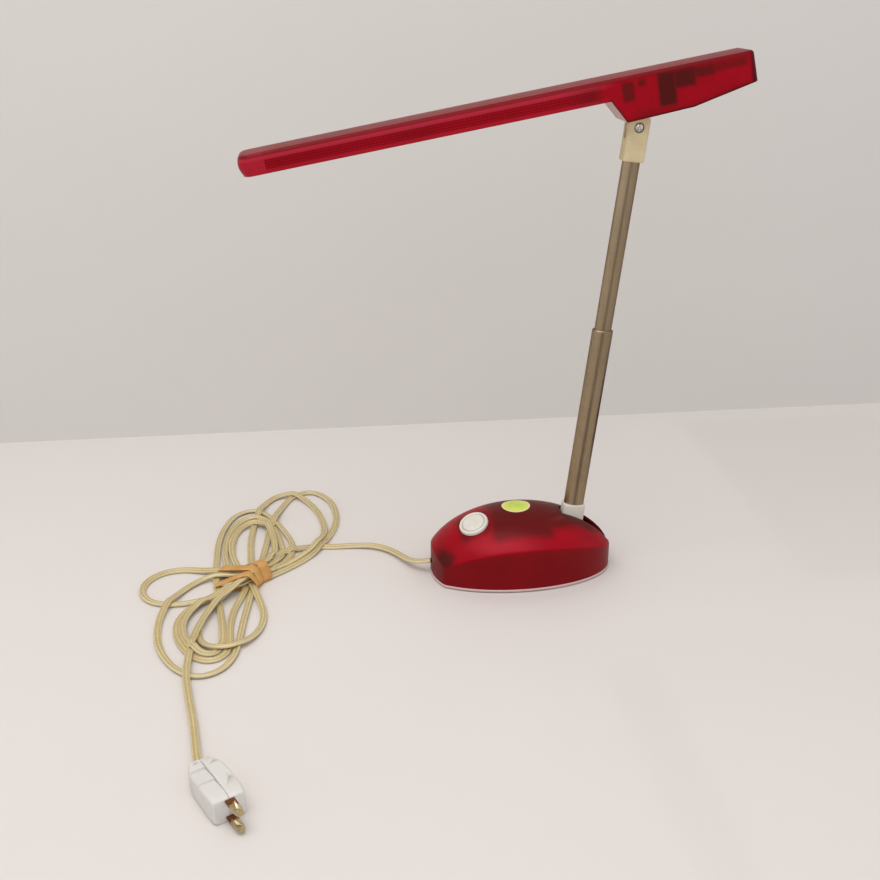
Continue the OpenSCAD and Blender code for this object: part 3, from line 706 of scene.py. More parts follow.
# ======================================================================
# Cord
# ======================================================================
LEAD = [(-82, 0, 12.5), (-88, 1, 11.5), (-94, 5, 9.5), (-99, 12, 7), (-104, 22, 5), (-110, 33, 4),
        (-118, 43, 3.5), (-128, 50, 3.5), (-140, 54, 3.5), (-155, 56, 3.5), (-166, 56, 3.5)]
LOOPS = [
    # into the knot and round the left-hand loop
    (-182, 58, 3.5), (-197, 56, 5), (-211, 49, 9), (-224, 36, 13), (-235, 22, 15), (-248, 14, 14),
    (-263, 15, 12), (-282, 21, 8), (-302, 28, 4), (-320, 25, 2.5), (-333, 12, 2), (-336, -7, 2),
    (-327, -24, 2), (-311, -31, 2.5), (-292, -30, 4), (-273, -23, 8), (-257, -14, 12), (-241, -4, 14),
    # up the far right loop and back down to the knot
    (-227, 6, 12), (-213, 17, 9), (-199, 30, 7), (-186, 46, 5), (-174, 70, 3), (-165, 98, 2.5),
    (-163, 130, 2), (-170, 160, 2), (-187, 179, 2), (-204, 171, 2.5), (-216, 146, 3), (-226, 104, 4),
    (-231, 62, 6), (-234, 34, 8), (-237, 8, 7), (-241, -18, 6), (-244, -44, 4), (-247, -72, 3),
    (-249, -98, 2.5), (-253, -120, 2.5),
    # round the large near loop
    (-263, -136, 2), (-278, -141, 2), (-292, -133, 2), (-304, -116, 2), (-313, -92, 2), (-316, -66, 2),
    (-314, -42, 2.5), (-306, -20, 4), (-294, -1, 6), (-280, 9, 9), (-265, 9, 12), (-250, 5, 16),
    (-236, 8, 18),
    # up the second far right loop
    (-222, 19, 14), (-206, 32, 10), (-191, 46, 8), (-180, 64, 6), (-175, 90, 4), (-178, 120, 3),
    (-188, 150, 3.5), (-205, 172, 5), (-222, 170, 3.5), (-236, 146, 3), (-243, 108, 4), (-245, 74, 5),
    (-244, 46, 7), (-243, 22, 9), (-244, -2, 8), (-249, -24, 6), (-255, -48, 4), (-257, -74, 3),
    (-256, -98, 3),
    # round the first small near loop
    (-259, -114, 3), (-270, -121, 4), (-283, -114, 4), (-293, -99, 3), (-300, -78, 3), (-300, -58, 3),
    (-292, -40, 4), (-277, -28, 7), (-261, -18, 11), (-246, -6, 16), (-232, 8, 17),
    # up the far left loop
    (-218, 24, 13), (-208, 42, 8), (-206, 66, 4), (-214, 94, 2.5), (-227, 125, 2), (-243, 143, 2),
    (-260, 135, 2), (-271, 107, 2), (-275, 76, 2), (-275, 46, 3), (-274, 20, 5), (-272, -4, 7),
    (-269, -26, 6), (-266, -50, 4), (-263, -76, 3), (-262, -98, 4),
    # round the second small near loop
    (-268, -114, 6), (-279, -112, 7), (-289, -96, 6), (-295, -76, 5), (-294, -56, 5), (-285, -38, 6),
    (-270, -24, 9), (-254, -10, 14), (-238, 6, 19),
    # up the middle far left loop
    (-224, 24, 15), (-215, 46, 9), (-217, 72, 5), (-225, 102, 4), (-240, 122, 4), (-256, 118, 4),
    (-265, 98, 3.5), (-268, 70, 4), (-267, 44, 6), (-262, 20, 9), (-259, -2, 10), (-264, -22, 9),
    # round the inner near loop
    (-274, -42, 7), (-281, -62, 6), (-282, -82, 6), (-276, -99, 7), (-264, -107, 7), (-250, -104, 6),
    (-238, -92, 4), (-231, -74, 3), (-230, -54, 3), (-234, -34, 5), (-240, -14, 9),
    # up the inner far left loop and out over the top
    (-247, 8, 12), (-255, 28, 10), (-261, 50, 7), (-262, 76, 6), (-256, 102, 6), (-244, 112, 6),
    (-232, 104, 6), (-225, 82, 6), (-222, 58, 9), (-224, 36, 14), (-231, 16, 20), (-240, -2, 22),
    (-252, -16, 20), (-265, -30, 15), (-275, -50, 11), (-282, -74, 8), (-285, -98, 7), (-287, -122, 5),
]
TAIL = [(-286, -146, 3.5), (-284, -158, 3.5), (-281, -176, 3.5), (-277, -196, 3.5), (-274, -216, 3.5),
        (-271.5, -234, 4), (-269.5, -247, 5.5), (-268, -256, 7)]
CORD_REST = 1.9 * MM     # height of the lead's middle where it lies flat
STRAND_GAP = 3.5 * MM    # height between two strands that cross
NEAR_STRAND = 6.4 * MM   # strands closer than this in plan rest on each other


def settle(line, free_from, free_to, rounds=260):
    """Lets the crossings of a line lie on each other: they are pushed apart in height, and the rest sinks."""
    count = len(line)
    far = np.array([np.hypot(*(line[:, :2] - p[:2]).T) for p in line])
    i, j = np.nonzero(np.triu(far < NEAR_STRAND, k=int(14 * MM / np.linalg.norm(line[1] - line[0]))))
    over = np.where(line[i, 2] >= line[j, 2], 1.0, -1.0)
    need = STRAND_GAP * np.sqrt(np.clip(1 - (far[i, j] / NEAR_STRAND) ** 2, 0, 1))
    height = line[:, 2].copy()
    fixed = np.ones(count, bool)
    fixed[free_from:free_to] = False
    for turn in range(rounds):
        lack = need - over * (height[i] - height[j])
        push = np.where(lack > 0, lack, 0) * 0.5 * over
        move, hits = np.zeros(count), np.full(count, 1e-9)
        np.add.at(move, i, push)
        np.add.at(move, j, -push)
        np.add.at(hits, i, (lack > 0) * 1.0)
        np.add.at(hits, j, (lack > 0) * 1.0)
        change = move / np.maximum(hits, 1) * 0.9
        if turn < rounds - 30:
            change -= 0.05 * MM
        height = np.where(fixed, height, np.maximum(height + change, CORD_REST))
        if turn < rounds - 12:
            eased = height.copy()
            eased[2:-2] = (height[:-4] + 2 * height[1:-3] + 2 * height[2:-2] + 2 * height[3:-1] + height[4:]) / 8
            height = np.where(fixed, height, np.maximum(eased, CORD_REST))
    eased = height.copy()
    eased[1:-1] = (height[:-2] + 2 * height[1:-1] + height[2:]) / 4
    line = line.copy()
    line[:, 2] = np.where(fixed, height, eased)
    return line


def cord_line(spacing):
    """Centreline of the lead from the base to the plug, with its points that far apart."""
    line = smooth_curve([Vector(p) * MM for p in LEAD + LOOPS + TAIL], spacing)
    for _ in range(6):
        line[1:-1] = (line[:-2] + 2 * line[1:-1] + line[2:]) / 4
    line = evenly(line, spacing)
    return settle(line, int(80 * MM / spacing), len(line) - int(120 * MM / spacing))


def twin_section(width, count=11):
    """Outline of a flat twin lead: two round cores side by side with a groove between them."""
    radius = width * 0.258
    aside = width / 2 - radius
    reach = math.acos(-aside / radius)
    right = [(aside + radius * math.cos(a), radius * math.sin(a)) for a in np.linspace(-reach, reach, count)]
    return right[:-1] + [(-x, -y) for x, y in right][:-1]


def sweep(line, section, lean):
    """Points and faces of a section carried along a line, kept level but for its lean, and the two surface values."""
    ahead = np.gradient(line, axis=0)
    ahead /= np.linalg.norm(ahead, axis=1)[:, None]
    rings, across, along = [], [], []
    half = max(abs(x) for x, _ in section)
    reach = 0.0
    for k, (place, way) in enumerate(zip(line, ahead)):
        side = Vector((way[1], -way[0], 0)).normalized()
        up = side.cross(Vector(way)).normalized()
        turn = lean(k)
        a = side * math.cos(turn) + up * math.sin(turn)
        b = up * math.cos(turn) - side * math.sin(turn)
        rings.append([Vector(place) + x * a + y * b for x, y in section])
        across += [x / half for x, _ in section]
        along += [reach] * len(section)
        if k < len(line) - 1:
            reach += float(np.linalg.norm(line[k + 1] - place)) / half
    return loft(rings), across, along


def step(value, low, high):
    """0 at low, 1 at high, in between in proportion; low may be the greater."""
    return min(max((value - low) / (high - low), 0.0), 1.0)


def mark(made, name, values):
    """Keeps one value for each vertex, for a material to read."""
    made.data.attributes.new(name, "FLOAT", "POINT").data.foreach_set("value", np.array(values, np.float32))


def nearness(made, names, near, far, least_painted_shade=lambda place: 0.0, most=lambda place: 1.0):
    """Marks, as painted shade, how close to each vertex those parts of the frame lie: 1 within near, 0 beyond far,
    kept in limits.
    """
    points, faces = [], []
    for name in names:
        part = frame["nodes"][name]
        start = len(points)
        points += [part.matrix_world @ v.co for v in part.data.vertices]
        faces += [[start + k for k in face.vertices] for face in part.data.polygons]
    tree = BVHTree.FromPolygons(points, faces)
    values = []
    for v in made.data.vertices:
        gap = tree.find_nearest(v.co, far)[3]
        share = 0.0 if gap is None else step(gap, far, near)
        values.append(max(min(share * share * (3 - 2 * share), most(v.co)), least_painted_shade(v.co)))
    mark(made, "seen", values)


def hull_ring(points):
    """Convex outline, anticlockwise, of points in a plane."""
    points = sorted(set(points))

    def half(way):
        chain = []
        for p in way:
            while len(chain) > 1 and (
                (chain[-1][0] - chain[-2][0]) * (p[1] - chain[-2][1])
                - (chain[-1][1] - chain[-2][1]) * (p[0] - chain[-2][0])
            ) <= 0:
                chain.pop()
            chain.append(p)
        return chain[:-1]

    return half(points) + half(points[::-1])


def band_wrap(line, centre, heading, width, reach, slack, lean=0.0):
    """One flat turn of the rubber band round the strands that cross its plane, as points and faces."""
    way = Vector((math.cos(heading), math.sin(heading), 0))
    side = Vector((-way.y, way.x, 0))
    caught = []
    for p in line:
        off = Vector(p) - centre
        if abs(off.dot(way)) < width * 0.6 and abs(off.dot(side)) < reach:
            for k in range(12):
                a = 2 * math.pi * k / 12
                caught.append((
                    round(off.dot(side) + (3.0 * MM + slack) * math.cos(a), 6),
                    round(max(p[2] + (1.7 * MM + slack) * math.sin(a), 0.5 * MM), 6),
                ))
    ring = np.array(hull_ring(caught))
    ring = np.column_stack([ring, np.zeros(len(ring))])
    ring = evenly(np.vstack([ring, ring[:1]]), 1.0 * MM)[:-1]
    for _ in range(6):
        ring = (np.roll(ring, 1, axis=0) + 2 * ring + np.roll(ring, -1, axis=0)) / 4
    thick = 0.45 * MM
    middle = ring.mean(axis=0)
    section = [(-width / 2, 0), (-width / 2 + thick, thick), (width / 2 - thick, thick), (width / 2, 0),
               (width / 2 - thick, -thick), (-width / 2 + thick, -thick)]
    rings = []
    for k, p in enumerate(ring):
        ahead = ring[(k + 1) % len(ring)] - ring[k - 1]
        ahead /= np.linalg.norm(ahead)
        out = np.array([ahead[1], -ahead[0], 0])
        row = []
        for x, y in section:
            q = p + out * y
            along = x + lean * (q[0] - middle[0])
            row.append(centre + side * q[0] + way * along + Vector((0, 0, q[1])))
        rings.append(row)
    return loft(rings, round_trip=True)


class LAMP_OT_cord(Operator):
    """Builds the flat twin lead, looped up and tied, with its band and plug"""

    bl_idname = "lamp.cord"
    bl_label = "Cord, band and plug"

    def execute(self, context):
        cord = context.scene.lamp_cord
        line = cord_line(cord.step)
        sway = [0.35 * math.sin(k * 0.021) * math.sin(k * 0.0083 + 1.0) for k in range(len(line))]
        calm = int(50 * MM / cord.step)

        def lean(k):
            return sway[k] * min(1.0, k / calm, (len(line) - 1 - k) / calm)

        body, across, along = sweep(line, twin_section(cord.width), lean)
        lead = piece("mains_lead", *body, cord_jacket(), None, smooth=70)
        mark(lead, "across", across)
        mark(lead, "along", along)
        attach(lead, "base")
        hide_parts("cord_lead", "cord_bundle", "cord_tail")

        wraps = [
            band_wrap(line, Vector((-244, 3, 0)) * MM, math.radians(64), 9.5 * MM, 30 * MM, 0.5 * MM, 0.12),
            band_wrap(line, Vector((-231, 3, 0)) * MM, math.radians(38), 9.5 * MM, 27 * MM, 1.1 * MM, -0.12),
            band_wrap(line, Vector((-247, -10, 0)) * MM, math.radians(78), 8.5 * MM, 24 * MM, 0.5 * MM, -0.06),
        ]
        band = piece("rubber_band", *join(*wraps), material("Band rubber"), "base", smooth=50)
        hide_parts("cord_band")

        plug = make_plug()
        return {"FINISHED"}


# ---------- plug ----------
PLUG = Matrix.Translation(Vector((-268, -256, 0)) * MM) @ Matrix.Rotation(math.radians(-62), 4, "Z")
PLUG_LEN, PLUG_HALF, PLUG_TOP, PLUG_FOOT = 50 * MM, 12 * MM, 19.4 * MM, 0.4 * MM
PLUG_SEAM = 0.12 * MM
BLADE_LEVELS = (3.55 * MM, 16.25 * MM)     # 12.7 mm apart
BLADE_HALF = 0.75 * MM                     # half of a blade's thickness
BLADE_HOLE = 12.2 * MM                     # from the plug's end


def plug_half(side, tops):
    """One moulded half of the plug: sections along its length, with the seam side flat."""
    rings = []
    for x, share, top in tops:
        half, seam = PLUG_HALF * share, PLUG_SEAM
        low, high = PLUG_FOOT, PLUG_FOOT + (PLUG_TOP - PLUG_FOOT) * top
        r = min(2.6 * MM, half * 0.3)
        outline = [(seam, low + 0.4 * MM), (seam + 0.4 * MM, low)]
        outline += [(half - r + r * math.sin(a), low + r - r * math.cos(a)) for a in np.linspace(0, math.pi / 2, 6)]
        outline += [(half - r + r * math.cos(a), high - r + r * math.sin(a)) for a in np.linspace(0, math.pi / 2, 6)]
        outline += [(seam + 0.4 * MM, high), (seam, high - 0.4 * MM)]
        rings.append([(x, side * y, z) for y, z in outline])
    return loft(rings)


def make_plug():
    """The two halves of the plug and its two blades."""
    smooth_side = [(0.0, 0.42, 0.62), (0.4 * MM, 0.50, 0.72), (3 * MM, 0.62, 0.84), (9 * MM, 0.86, 0.93),
                   (15 * MM, 0.98, 0.97), (24 * MM, 1.0, 1.0), (43 * MM, 1.0, 0.99), (47.5 * MM, 0.97, 0.96),
                   (49.5 * MM, 0.92, 0.91), (PLUG_LEN, 0.87, 0.87)]
    stepped = [(0.0, 0.42, 0.62), (0.4 * MM, 0.50, 0.72), (3 * MM, 0.62, 0.86), (9 * MM, 0.86, 0.90),
               (13.4 * MM, 0.94, 0.92), (14.0 * MM, 0.94, 0.84), (16 * MM, 0.98, 0.86), (28.4 * MM, 1.0, 0.97),
               (29.0 * MM, 1.0, 0.89), (32 * MM, 1.0, 0.92), (42 * MM, 1.0, 0.99), (47.5 * MM, 0.97, 0.96),
               (49.5 * MM, 0.92, 0.91), (PLUG_LEN, 0.87, 0.87)]
    far = piece("plug_far_half", *plug_half(1, smooth_side), material("Plug plastic"), None, PLUG, smooth=40)
    near = piece("plug_near_half", *plug_half(-1, stepped), material("Plug plastic"), None, PLUG, smooth=28)
    for x, y in ((11, 7.5), (33, 9.0)):
        dimple = round_bar(1.1, 16, 21, 20, top=1.3)
        carve(far, moved(dimple, PLUG @ Matrix.Translation(Vector((x, y, 0)) * MM)))
    hole = round_bar(0.8, 14, 22, 20, top=0.9)
    carve(near, moved(hole, PLUG @ Matrix.Translation(Vector((5.5, -3.2, 0)) * MM)))
    blades = []
    for middle in BLADE_LEVELS:
        outline = [(-4, 3.2), (12, 3.2), (15.6, 2.6), (17, 1.6), (17, -1.6), (15.6, -2.6), (12, -3.2), (-4, -3.2)]
        blades.append(loft([
            [(PLUG_LEN + x * MM, y * MM, z) for x, y in outline] for z in (middle - BLADE_HALF, middle + BLADE_HALF)
        ]))
    metal = piece("plug_blades_brass", *join(*blades), blade_brass(), None, PLUG, smooth=30)
    for middle in BLADE_LEVELS:
        hole = round_bar(1.4, -2, 2, 24)
        carve(metal, moved(hole, PLUG @ Matrix.Translation((PLUG_LEN + BLADE_HOLE, 0, middle))))
    inverse = PLUG.inverted()
    reach = [max(0.0, 1 - ((inverse @ v.co).x - PLUG_LEN) / (6 * MM)) for v in metal.data.vertices]
    mark(metal, "root", reach)
    for made, covers, slot in ((far, "plug_front", "plug_white"), (near, "plug_back", "plug_white"),
                               (metal, "plug_blades", "blade_brass")):
        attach(made, "base")
        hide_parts(covers)
    return [far, near, metal]


# ======================================================================
# Base
# ======================================================================
PLAN_SHIFT = 6 * MM
NOSE_BULGE = 8.5 * MM
DOME_X, DOME_Z = -1.5 * MM, 5 * MM
DOME_A = BASE_LEN / 2 + 5.8 * MM
DOME_R = BASE_HIGH.z - DOME_Z
SHELL_FOOT = BASE_LOW.z
SLOT_HALF = 7.5 * MM
SLOT_FRONT = HINGE.x - 9.5 * MM
SLOT_FLOOR = 22 * MM
SWITCH_XY = Vector((-45, -12)) * MM
DOME_APEX_X = -3 * MM
BOSSES = [(-58, -20), (-58, 20), (22, -33), (22, 33)]
# parts whose nearness paints shade on the shell
BASE_PAINTED_SHADE_PARTS = ["base_weight", "terminal_block", "switch_body", "hinge_bracket", "lower_knuckle", "hinge_pin"]


def plan(inset):
    """Outline of the base from above, anticlockwise from its nose corner: a bulged nose and a long oval."""
    a, b = BASE_LEN / 2 + PLAN_SHIFT - inset, BASE_W / 2 - inset
    nose = -BASE_LEN / 2 + inset
    t = math.acos((nose + NOSE_BULGE + PLAN_SHIFT) / a)
    corner = b * math.sin(t)
    r = (corner**2 + NOSE_BULGE**2) / (2 * NOSE_BULGE)
    s = math.asin(corner / r)
    arc = [(nose + r - r * math.cos(f), -r * math.sin(f)) for f in np.linspace(-s, s, 24)]
    side = [(-PLAN_SHIFT + a * math.cos(f), b * math.sin(f)) for f in np.linspace(-t, t, 120)[1:-1]]
    return arc + side


def soft_plan(inset, gap=1.6 * MM, passes=1):
    """The outline with evenly spaced points and its two nose corners softened."""
    outline = np.array([(x, y, 0.0) for x, y in plan(inset)])
    outline = evenly(np.vstack([outline, outline[:1]]), gap)[:-1]
    for _ in range(passes):
        outline = (np.roll(outline, 1, axis=0) + 2 * outline + np.roll(outline, -1, axis=0)) / 4
    return outline[:, :2]


def dome_height(x, y, inset=0.0):
    """Height of the dome over a point."""
    rise = 1 - ((x - DOME_X) / (DOME_A - inset)) ** 2 - (y / (DOME_R - inset)) ** 2
    return DOME_Z + (DOME_R - inset) * math.sqrt(max(rise, 0.0))


def dome_skin(outline, inset, crease, foot, rows=26, side_rows=8):
    """Rings of the dome from near its middle out to its edge, over a soft crease and down its side."""
    centre = np.array([DOME_APEX_X, 0.0])
    rings = []
    reach = np.linalg.norm(outline - centre, axis=1)
    for k in range(1, rows + 1):
        share = (k / rows) ** 0.85
        row = []
        for p, far in zip(outline, reach):
            q = centre + (p - centre) * share * (1 - crease / far)
            row.append((q[0], q[1], dome_height(q[0], q[1], inset)))
        rings.append(row)
    for t in (0.2, 0.4, 0.6, 0.8, 1.0):
        row = []
        for p, far in zip(outline, reach):
            q = centre + (p - centre) * (1 - crease / far)
            start = np.array([q[0], q[1], dome_height(q[0], q[1], inset)])
            top = np.array([p[0], p[1], dome_height(p[0], p[1], inset)])
            end = top - np.array([0, 0, crease])
            row.append(tuple((1 - t) ** 2 * start + 2 * t * (1 - t) * top + t**2 * end))
        rings.append(row)
    edge = rings[-1]
    for k in range(1, side_rows + 1):
        rings.append([(x, y, z + (foot - z) * k / side_rows) for x, y, z in edge])
    return rings


def fan_cap(rings, apex):
    """Points and faces of a skin whose first ring closes on one point."""
    points, faces = loft(rings, cap_start=False, cap_end=False)
    count, tip = len(rings[0]), len(points)
    points.append(Vector(apex))
    faces += [(tip, (k + 1) % count, k) for k in range(count)]
    return points, faces


def switch_place():
    """Matrix that stands a piece on the dome at the switch."""
    x, y = SWITCH_XY
    return Matrix.Translation((x, y, dome_height(x, y))) @ PRESS_AXIS.to_track_quat("Z", "X").to_matrix().to_4x4()


class LAMP_OT_base_shell(Operator):
    """Builds the hollow red dome with its slot, holes and screw posts"""

    bl_idname = "lamp.base_shell"
    bl_label = "Base shell"

    def execute(self, context):
        base = context.scene.lamp_base
        outer = dome_skin(soft_plan(0), 0.0, base.crease, SHELL_FOOT)
        inner = dome_skin(soft_plan(base.wall), base.wall, base.crease * 0.6, SHELL_FOOT)
        count = len(outer[0])
        inner = [resample_ring(ring, count) for ring in inner]
        top = (DOME_APEX_X, 0, dome_height(DOME_APEX_X, 0))
        under = (DOME_APEX_X, 0, dome_height(DOME_APEX_X, 0, base.wall))
        outer_part, inner_part = fan_cap(outer, top), fan_cap(inner, under)
        points, faces = join(outer_part, inner_part)
        a = (len(outer) - 1) * count
        b = len(outer_part[0]) + (len(inner) - 1) * count
        faces += [(a + k, a + (k + 1) % count, b + (k + 1) % count, b + k) for k in range(count)]
        shell = piece("dome_shell", points, faces, red_plastic(), None)

        slot = rounded_box((SLOT_FRONT, -SLOT_HALF, SLOT_FLOOR), (0.2, SLOT_HALF, 0.2), 1.2 * MM)
        hole = round_bar(11.3, -15, 15)
        exit_hole = round_bar(3.4, -12, 12, 32)
        along_x = Matrix.Translation((BASE_LOW.x, 0, 12.5 * MM)) @ Matrix.Rotation(math.pi / 2, 4, "Y")
        seat = round_bar(13.1, -1.2, 15, 72)
        place = switch_place()
        carve(shell, slot, moved(hole, place), moved(seat, place), moved(exit_hole, along_x))
        soften(shell, 32)

        def below(p):
            """1 on the side wall, below the dome's edge."""
            return step(dome_height(p.x, p.y) - p.z, 0.3 * MM, 1.2 * MM)

        def least_painted_shade(p):
            """Painted shade of the side wall, the nose and the ridge along the slot."""
            side = 0.50 if p.x > BASE_LOW.x + NOSE_BULGE else 0.66
            reach = 29 * MM - 0.36 * max(p.x - 24 * MM, 0.0)
            ridge = step(abs(p.y), reach + 4 * MM, reach - 5 * MM) * step(p.x, 0.0, 16 * MM)
            return max(side * below(p), 0.85 * ridge * (1 - below(p)))

        # painted shade on the shell: darker near the gear behind it, and never lighter than the side wall's painted
        # shade
        nearness(shell, BASE_PAINTED_SHADE_PARTS, 5.5 * MM, 12 * MM, least_painted_shade, lambda p: 1 - 0.5 * below(p))

        posts = []
        for x, y in BOSSES:
            high = dome_height(x * MM, y * MM, base.wall) - SHELL_FOOT - 1 * MM
            tube = lathe([(1.5 * MM, 0.3 * MM), (1.8 * MM, 0), (3.7 * MM, 0), (4 * MM, 0.3 * MM), (4.3 * MM, high),
                          (1.5 * MM, high), (1.5 * MM, 0.3 * MM)], 28)
            posts.append(moved(tube, Matrix.Translation((x * MM, y * MM, SHELL_FOOT))))
        post = piece("shell_posts", *join(*posts), red_plastic(), "base")
        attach(shell, "base")
        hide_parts("base_shell")
        return {"FINISHED"}


def resample_ring(ring, count):
    """The same closed ring with another number of points, started at the same place."""
    points = np.array(ring)
    closed = np.vstack([points, points[:1]])
    gaps = np.linalg.norm(np.diff(closed[:, :2], axis=0), axis=1)
    reach = np.concatenate([[0], np.cumsum(gaps)])
    stops = np.linspace(0, reach[-1], count, endpoint=False)
    return [tuple(np.interp(s, reach, closed[:, k]) for k in range(3)) for s in stops]


class LAMP_OT_base_plate(Operator):
    """Builds the pale plate with its rounded rim and screw seats"""

    bl_idname = "lamp.base_plate"
    bl_label = "Base plate"

    def execute(self, context):
        low, high = PLATE_LOW.z, PLATE_HIGH.z
        edge = 0.7 * MM
        rings = []
        for share in (0.0, 0.35, 0.7, 1.0):
            turn = share * math.pi / 2
            rings.append((edge * (1 - math.sin(turn)) - 0.6 * MM, low + edge * (1 - math.cos(turn))))
        rings += [(inset, low + high - z) for inset, z in reversed(rings)]
        skins = [[(x, y, z) for x, y in soft_plan(inset)] for inset, z in rings]
        count = len(skins[0])
        skins = [resample_ring(ring, count) for ring in skins]
        plate = piece("plate", *loft(skins), material("Pale plastic"), None, smooth=40)
        cutters = []
        for x, y in BOSSES:
            seat = lathe(in_mm([(0, -1), (3.2, -1), (3.2, 2.2), (1.7, 2.2), (1.7, 6), (0, 6)]), 32)
            cutters.append(moved(seat, Matrix.Translation((x * MM, y * MM, 0))))
        carve(plate, *cutters)
        soften(plate, 40)
        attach(plate, "base")
        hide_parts("base_plate")
        return {"FINISHED"}


class LAMP_OT_switch(Operator):
    """Builds the switch bezel, its push button and the spring under it"""

    bl_idname = "lamp.switch"
    bl_label = "Switch"

    def execute(self, context):
        place = switch_place()
        ring = [(10.3, -9), (10.3, 1.3), (10.45, 1.65), (10.9, 1.9), (11.6, 2.0), (12.2, 1.88), (12.65, 1.55),
                (12.9, 1.0), (13.0, 0.3), (13.0, -1.2), (11.2, -1.2), (11.2, -9), (10.3, -9)]
        bezel = piece(
            "bezel", *lathe(in_mm(ring), 72), material("White plastic"), "base", place, smooth=50
        )
        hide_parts("switch_bezel")
        cap = [(0, 2.9), (4, 2.86), (7.4, 2.72), (8.8, 2.52), (9.45, 2.2), (9.8, 1.75), (9.95, 1.2), (10.0, 0.5),
               (10.0, -3), (2.5, -3), (2.5, -5.5), (0, -5.5)]
        button = piece(
            "button", *lathe(in_mm(cap), 72), material("White plastic"), "switch_button", place, smooth=50
        )
        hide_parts("switch_button")

        coil, turns, low, high = [], 6, -17.3 * MM, -5.8 * MM
        steps = turns * 24
        for k in range(steps + 1):
            angle = 2 * math.pi * k / 24
            rise = k / steps
            coil.append((4.1 * MM * math.cos(angle), 4.1 * MM * math.sin(angle), low + (high - low) * rise))
        wire = [(0.4 * MM * math.cos(a), 0.4 * MM * math.sin(a)) for a in np.linspace(0, 2 * math.pi, 9)[:-1]]
        (points, faces), _, _ = sweep(np.array(coil), wire, lambda k: 0.0)
        spring = piece("button_spring", points, faces, material("Bright steel"), "base", place, smooth=80)
        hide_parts("switch_spring")
        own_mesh(spring)
        return {"FINISHED"}


class LAMP_OT_sticker(Operator):
    """Builds the round paper sticker that follows the dome"""

    bl_idname = "lamp.sticker"
    bl_label = "Sticker"

    def execute(self, context):
        low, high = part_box("round_sticker")
        centre = (low + high) / 2
        radius, lift, thick = (high.x - low.x) / 2, 0.02 * MM, 0.22 * MM
        around, rows = 64, 8
        points, faces, rim = [], [], []
        for top in (True, False):
            for k in range(rows + 1):
                for n in range(around):
                    reach = radius * k / rows
                    x = centre.x + reach * math.cos(2 * math.pi * n / around)
                    y = centre.y + reach * math.sin(2 * math.pi * n / around)
                    curl = 0.18 * MM * max(0.0, math.sin(2 * math.pi * n / around + 0.6)) * (k / rows) ** 6
                    points.append((x, y, dome_height(x, y) + lift + curl + (thick if top else 0)))
                    rim.append(k / rows)
        start = (rows + 1) * around
        for k in range(rows):
            for n in range(around):
                a, b = k * around + n, k * around + (n + 1) % around
                faces.append((a, b, b + around, a + around))
                faces.append((start + a, start + a + around, start + b + around, start + b))
        edge = rows * around
        for n in range(around):
            m = (n + 1) % around
            faces.append((edge + n, edge + m, start + edge + m, start + edge + n))
        disc = piece("paper_sticker", points, faces, sticker_paper(), None, smooth=40)
        inside = [Vector(v.co) - centre for v in disc.data.vertices]
        mark(disc, "rim", [math.hypot(p.x, p.y) / radius for p in inside])
        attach(disc, "base")
        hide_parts("round_sticker")
        return {"FINISHED"}


# ======================================================================
# Arm
# ======================================================================
LOWER_W, LOWER_D, LOWER_TOP = 18 * MM, 12.4 * MM, 189 * MM
UPPER_W, UPPER_D = 14.6 * MM, 9.6 * MM
FORK_DEPTH = 13.6 * MM
EYE_R = 9.5 * MM
PIN_R = 3.05 * MM


def cross_hole(radius, length, place):
    """A round cutter along Y at that place."""
    rod = lathe([(0, -length / 2), (radius, -length / 2), (radius, length / 2), (0, length / 2)], 40)
    return moved(rod, place @ Matrix.Rotation(math.pi / 2, 4, "X"))


def mark_across(tube, width):
    """Marks a tube's points from -1 to 1 across its width."""
    back = ARM.inverted()
    mark(tube, "across", [(back @ v.co).x / (width / 2) for v in tube.data.vertices])


def hollow_oval(width, depth, wall, low, high, lip=0.25 * MM):
    """An oval tube with softened ends."""
    inner_w, inner_d = width - 2 * wall, depth - 2 * wall
    stack = [oval(width - 2 * lip, depth - 2 * lip, low), oval(width, depth, low + lip)]
    stack += [oval(width, depth, low + (high - low) * k / 8) for k in range(1, 8)]
    stack += [oval(width, depth, high - lip), oval(width - 2 * lip, depth - 2 * lip, high),
              oval(inner_w, inner_d, high - lip / 2)]
    stack += [oval(inner_w, inner_d, low + (high - low) * k / 4) for k in (3, 2, 1)]
    stack.append(oval(inner_w, inner_d, low + lip / 2))
    return loft(stack, round_trip=True)


